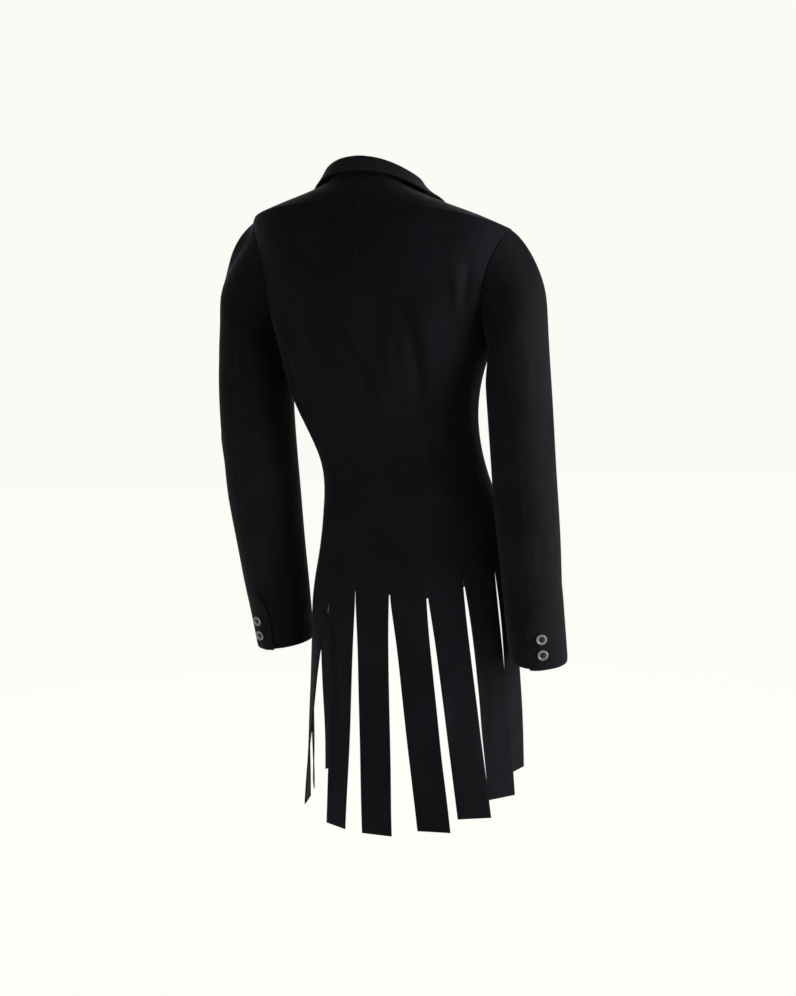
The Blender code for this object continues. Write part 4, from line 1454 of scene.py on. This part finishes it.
# Each crease's points, half width and lift, in millimetres
CREASE_ROWS = (
    (((-63, 30, 2), (-63, 11, 0), (-62, -8, -1)), 7, 1.7),
    (((60, 30, 2), (60, 11, 0), (59, -8, -1)), 7, 1.7),
    (((47, 115, -155), (29, 114, -193), (9, 108, -240), (-2, 97, -273), (-9, 85, -304)), 9, -6.5),
    (((-57, 114, -161), (-71, 104, -215), (-73, 86, -269), (-72, 62, -331), (-87, 41, -378)), 9, -7),
    (((-34, 112, -196), (-35, 92, -272)), 9, 4.1),
    (((-127, 95, -111), (-130, 89, -149), (-127, 83, -186)), 8, 4.1),
    (((-145, 83, -108), (-144, 80, -142), (-137, 78, -176)), 6, -4.5),
    (((160, 61, -142), (116, 86, -216), (104, 72, -280), (101, 48, -325)), 8, 3.6),
    (((85, 109, -152), (83, 107, -189), (68, 99, -245)), 8, 4.5),
    (((38, 49, -452), (8, 56, -476), (-19, 58, -502), (-47, 60, -530)), 7, -4.1),
    (((55, 46, -403), (10, 57, -398)), 6, -3),
    (((99, 11, -436), (45, 47, -445), (5, 55, -436)), 6, 1.7),
    (((-83, 46, -369), (-106, 26, -382), (-123, 0, -370)), 6, -2.1),
    (((-73, 48, -425), (-105, 34, -435), (-131, 3, -421)), 7, 1.7),
    (((22, 105, -21), (-18, 108, -37), (-60, 102, -37)), 6, -2.5),
    (((90, 105, -56), (43, 112, -52), (10, 110, -38)), 9, 2.9),
    (((-98, 98, -56), (-126, 89, -67), (-155, 73, -75)), 8, -1.8),
    (((-1, 68, -619), (-4, 74, -732), (-8, 78, -860)), 8, -2.9),
    (((-82, 62, -633), (-92, 65, -738), (-84, 74, -842)), 9, 3.2),
    (((-135, 36, -607), (-147, 37, -720), (-139, 49, -832)), 8, -2.2),
    (((78, 47, -609), (73, 50, -710), (86, 46, -829)), 7, -2.6),
    (((-188, 74, -307), (-212, 77, -319), (-236, 58, -313)), 5, -2.5),
    (((-182, 70, -338), (-212, 82, -353), (-242, 52, -347)), 6, 2.7),
    (((-190, 77, -369), (-218, 80, -382), (-244, 52, -377)), 5, -2.5),
    (((-199, 79, -407), (-224, 77, -414), (-246, 50, -406)), 6, 2),
    (((-213, 72, -227), (-225, 65, -254), (-222, 70, -285)), 7, 2.1),
    (((-223, 81, -464), (-237, 70, -499), (-233, 69, -540)), 7, -1.8),
    (((222, 73, -253), (195, 70, -273), (171, 47, -281)), 6, -2.5),
    (((226, 69, -307), (190, 64, -330), (163, 26, -333)), 6, 2.7),
    (((225, 64, -354), (191, 56, -372), (160, 16, -368)), 5, -2.4),
    (((225, 51, -432), (193, 45, -449), (161, 8, -445)), 7, 1.8),
    (((207, 69, -126), (193, 75, -171), (200, 76, -214)), 7, -2.1),
    (((177, 23, -493), (173, 9, -532), (181, 1, -585)), 7, -1.7),
    (((34, -120, -376), (58, -112, -388), (82, -97, -404)), 6, -2.4),
    (((30, -120, -352), (58, -113, -342), (86, -100, -336)), 7, 2.1),
    (((-30, -130, -382), (-56, -125, -394), (-84, -114, -412)), 6, -2.2),
    (((-34, -126, -350), (-60, -115, -343), (-86, -101, -340)), 7, 2.2),
    (((92, -104, -205), (78, -111, -245), (60, -116, -290)), 9, -2.8),
    (((-96, -98, -200), (-80, -104, -250), (-66, -109, -292)), 9, -3.1),
    (((104, -96, -150), (118, -91, -168), (132, -81, -190)), 8, 2.2),
    (((40, -123, -432), (66, -116, -448), (92, -104, -472)), 8, 1.8),
    (((-44, -137, -440), (-68, -137, -462), (-90, -137, -486)), 8, -2),
    (((58, -140, -515), (66, -146, -550), (68, -153, -585)), 9, 2.2),
    (((-52, -155, -505), (-58, -163, -545), (-62, -161, -583)), 9, -2.2),
    (((172, -52, -334), (198, -65, -343), (226, -56, -340)), 6, -2.7),
    (((174, -56, -365), (200, -66, -377), (228, -55, -372)), 6, 2.5),
    (((178, -63, -402), (204, -68, -408), (226, -56, -400)), 6, -2.2),
    (((-174, -49, -352), (-200, -51, -361), (-226, -35, -357)), 6, -2.5),
    (((-176, -43, -384), (-202, -46, -396), (-228, -31, -390)), 6, 2.7),
    (((-180, -39, -420), (-204, -40, -428), (-226, -29, -421)), 6, -2.1),
    (((257, 20, -300), (255, 30, -340), (254, 20, -380)), 7, 2),
    (((251, -20, -480), (248, -30, -520), (244, -50, -560)), 8, -1.8),
    (((-244, 20, -300), (-247, 30, -345), (-249, 24, -390)), 7, 2),
    (((-247, -2, -490), (-250, 4, -530), (-254, 10, -575)), 8, -1.8),
)
CREASES = tuple(Crease(*row) for row in CREASE_ROWS)


def both(
    node: str, areas: tuple[float, float], slot: Slot, finish: str, flat: tuple[float, float], **rest: object
) -> list[ClothPiece]:
    """Describes the left and the right piece of one cut.

    Args:
        node: The nodes' name before the side.
        areas: Areas of the left and the right piece.
        slot: Slot of both.
        finish: Name of their material.
        flat: Width and length of the flat cut.
        rest: Other fields of both.

    Returns:
        The left piece, then the right.
    """
    sides = zip(("left", "right"), areas)
    return [ClothPiece(f"{node}_{side}", slot, finish, flat, area, **rest) for side, area in sides]


SKIRTED = {"stitched": Edge.HEM, "levels": 3}
OPEN_EDGED = {"hem_level": -0.53, "stitched": Edge.FRONT, "facing_level": NOWHERE, "levels": 3}
CUFFED = {"hem_level": -0.62, "stitched": Edge.HEM, "facing_level": NOWHERE}
TURNED = {"stitched": Edge.FRONT, "faced": True}

CLOTH = (
    *both("back", (0.0908, 0.0904), Slot.BODY, "wool_panels", (0.21, 0.96), hem_level=-0.80, softened=9, **SKIRTED),
    *both("side", (0.1164, 0.1087), Slot.SIDE, "wool_panels", (0.26, 0.84), hem_level=-0.78, **SKIRTED),
    *both("front", (0.1094, 0.1048), Slot.FRONT, "wool_panels", (0.26, 0.62), **OPEN_EDGED),
    *both("lapel", (0.0141, 0.0139), Slot.LAPEL, "wool_collar", (0.09, 0.33), **TURNED),
    ClothPiece("collar", Slot.COLLAR, "wool_collar", (0.40, 0.065), 0.0159, faced=True, softened=1),
    *both("sleeve_top", (0.1319, 0.1202), Slot.TOP_SLEEVE, "wool_sleeves", (0.24, 0.66), fold_angle=52.0, **CUFFED),
    *both("sleeve_under", (0.0683, 0.0650), Slot.UNDER_SLEEVE, "wool_sleeves", (0.15, 0.56), **CUFFED),
)

BUTTONS = (
    *(Button(f"cuff_button_{side}_{k}", 0.0150, 0.0030) for side in ("left", "right") for k in (1, 2)),
    *(Button(f"front_button_{k}", 0.0200, 0.0036, hole=0.0010, hole_offset=0.0017) for k in (1, 2)),
)


def clear_scene() -> None:
    """Removes the start scene's objects."""
    for old in list(bpy.data.objects):
        bpy.data.objects.remove(old, do_unlink=True)


def main() -> None:
    """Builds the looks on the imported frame."""
    logging.basicConfig(level=logging.INFO, format="%(name)s: %(message)s")
    clear_scene()
    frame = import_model()
    Blazer(CLOTH, BUTTONS, CREASES).build(frame["nodes"])
    Studio().build()


if __name__ == "__main__":
    main()
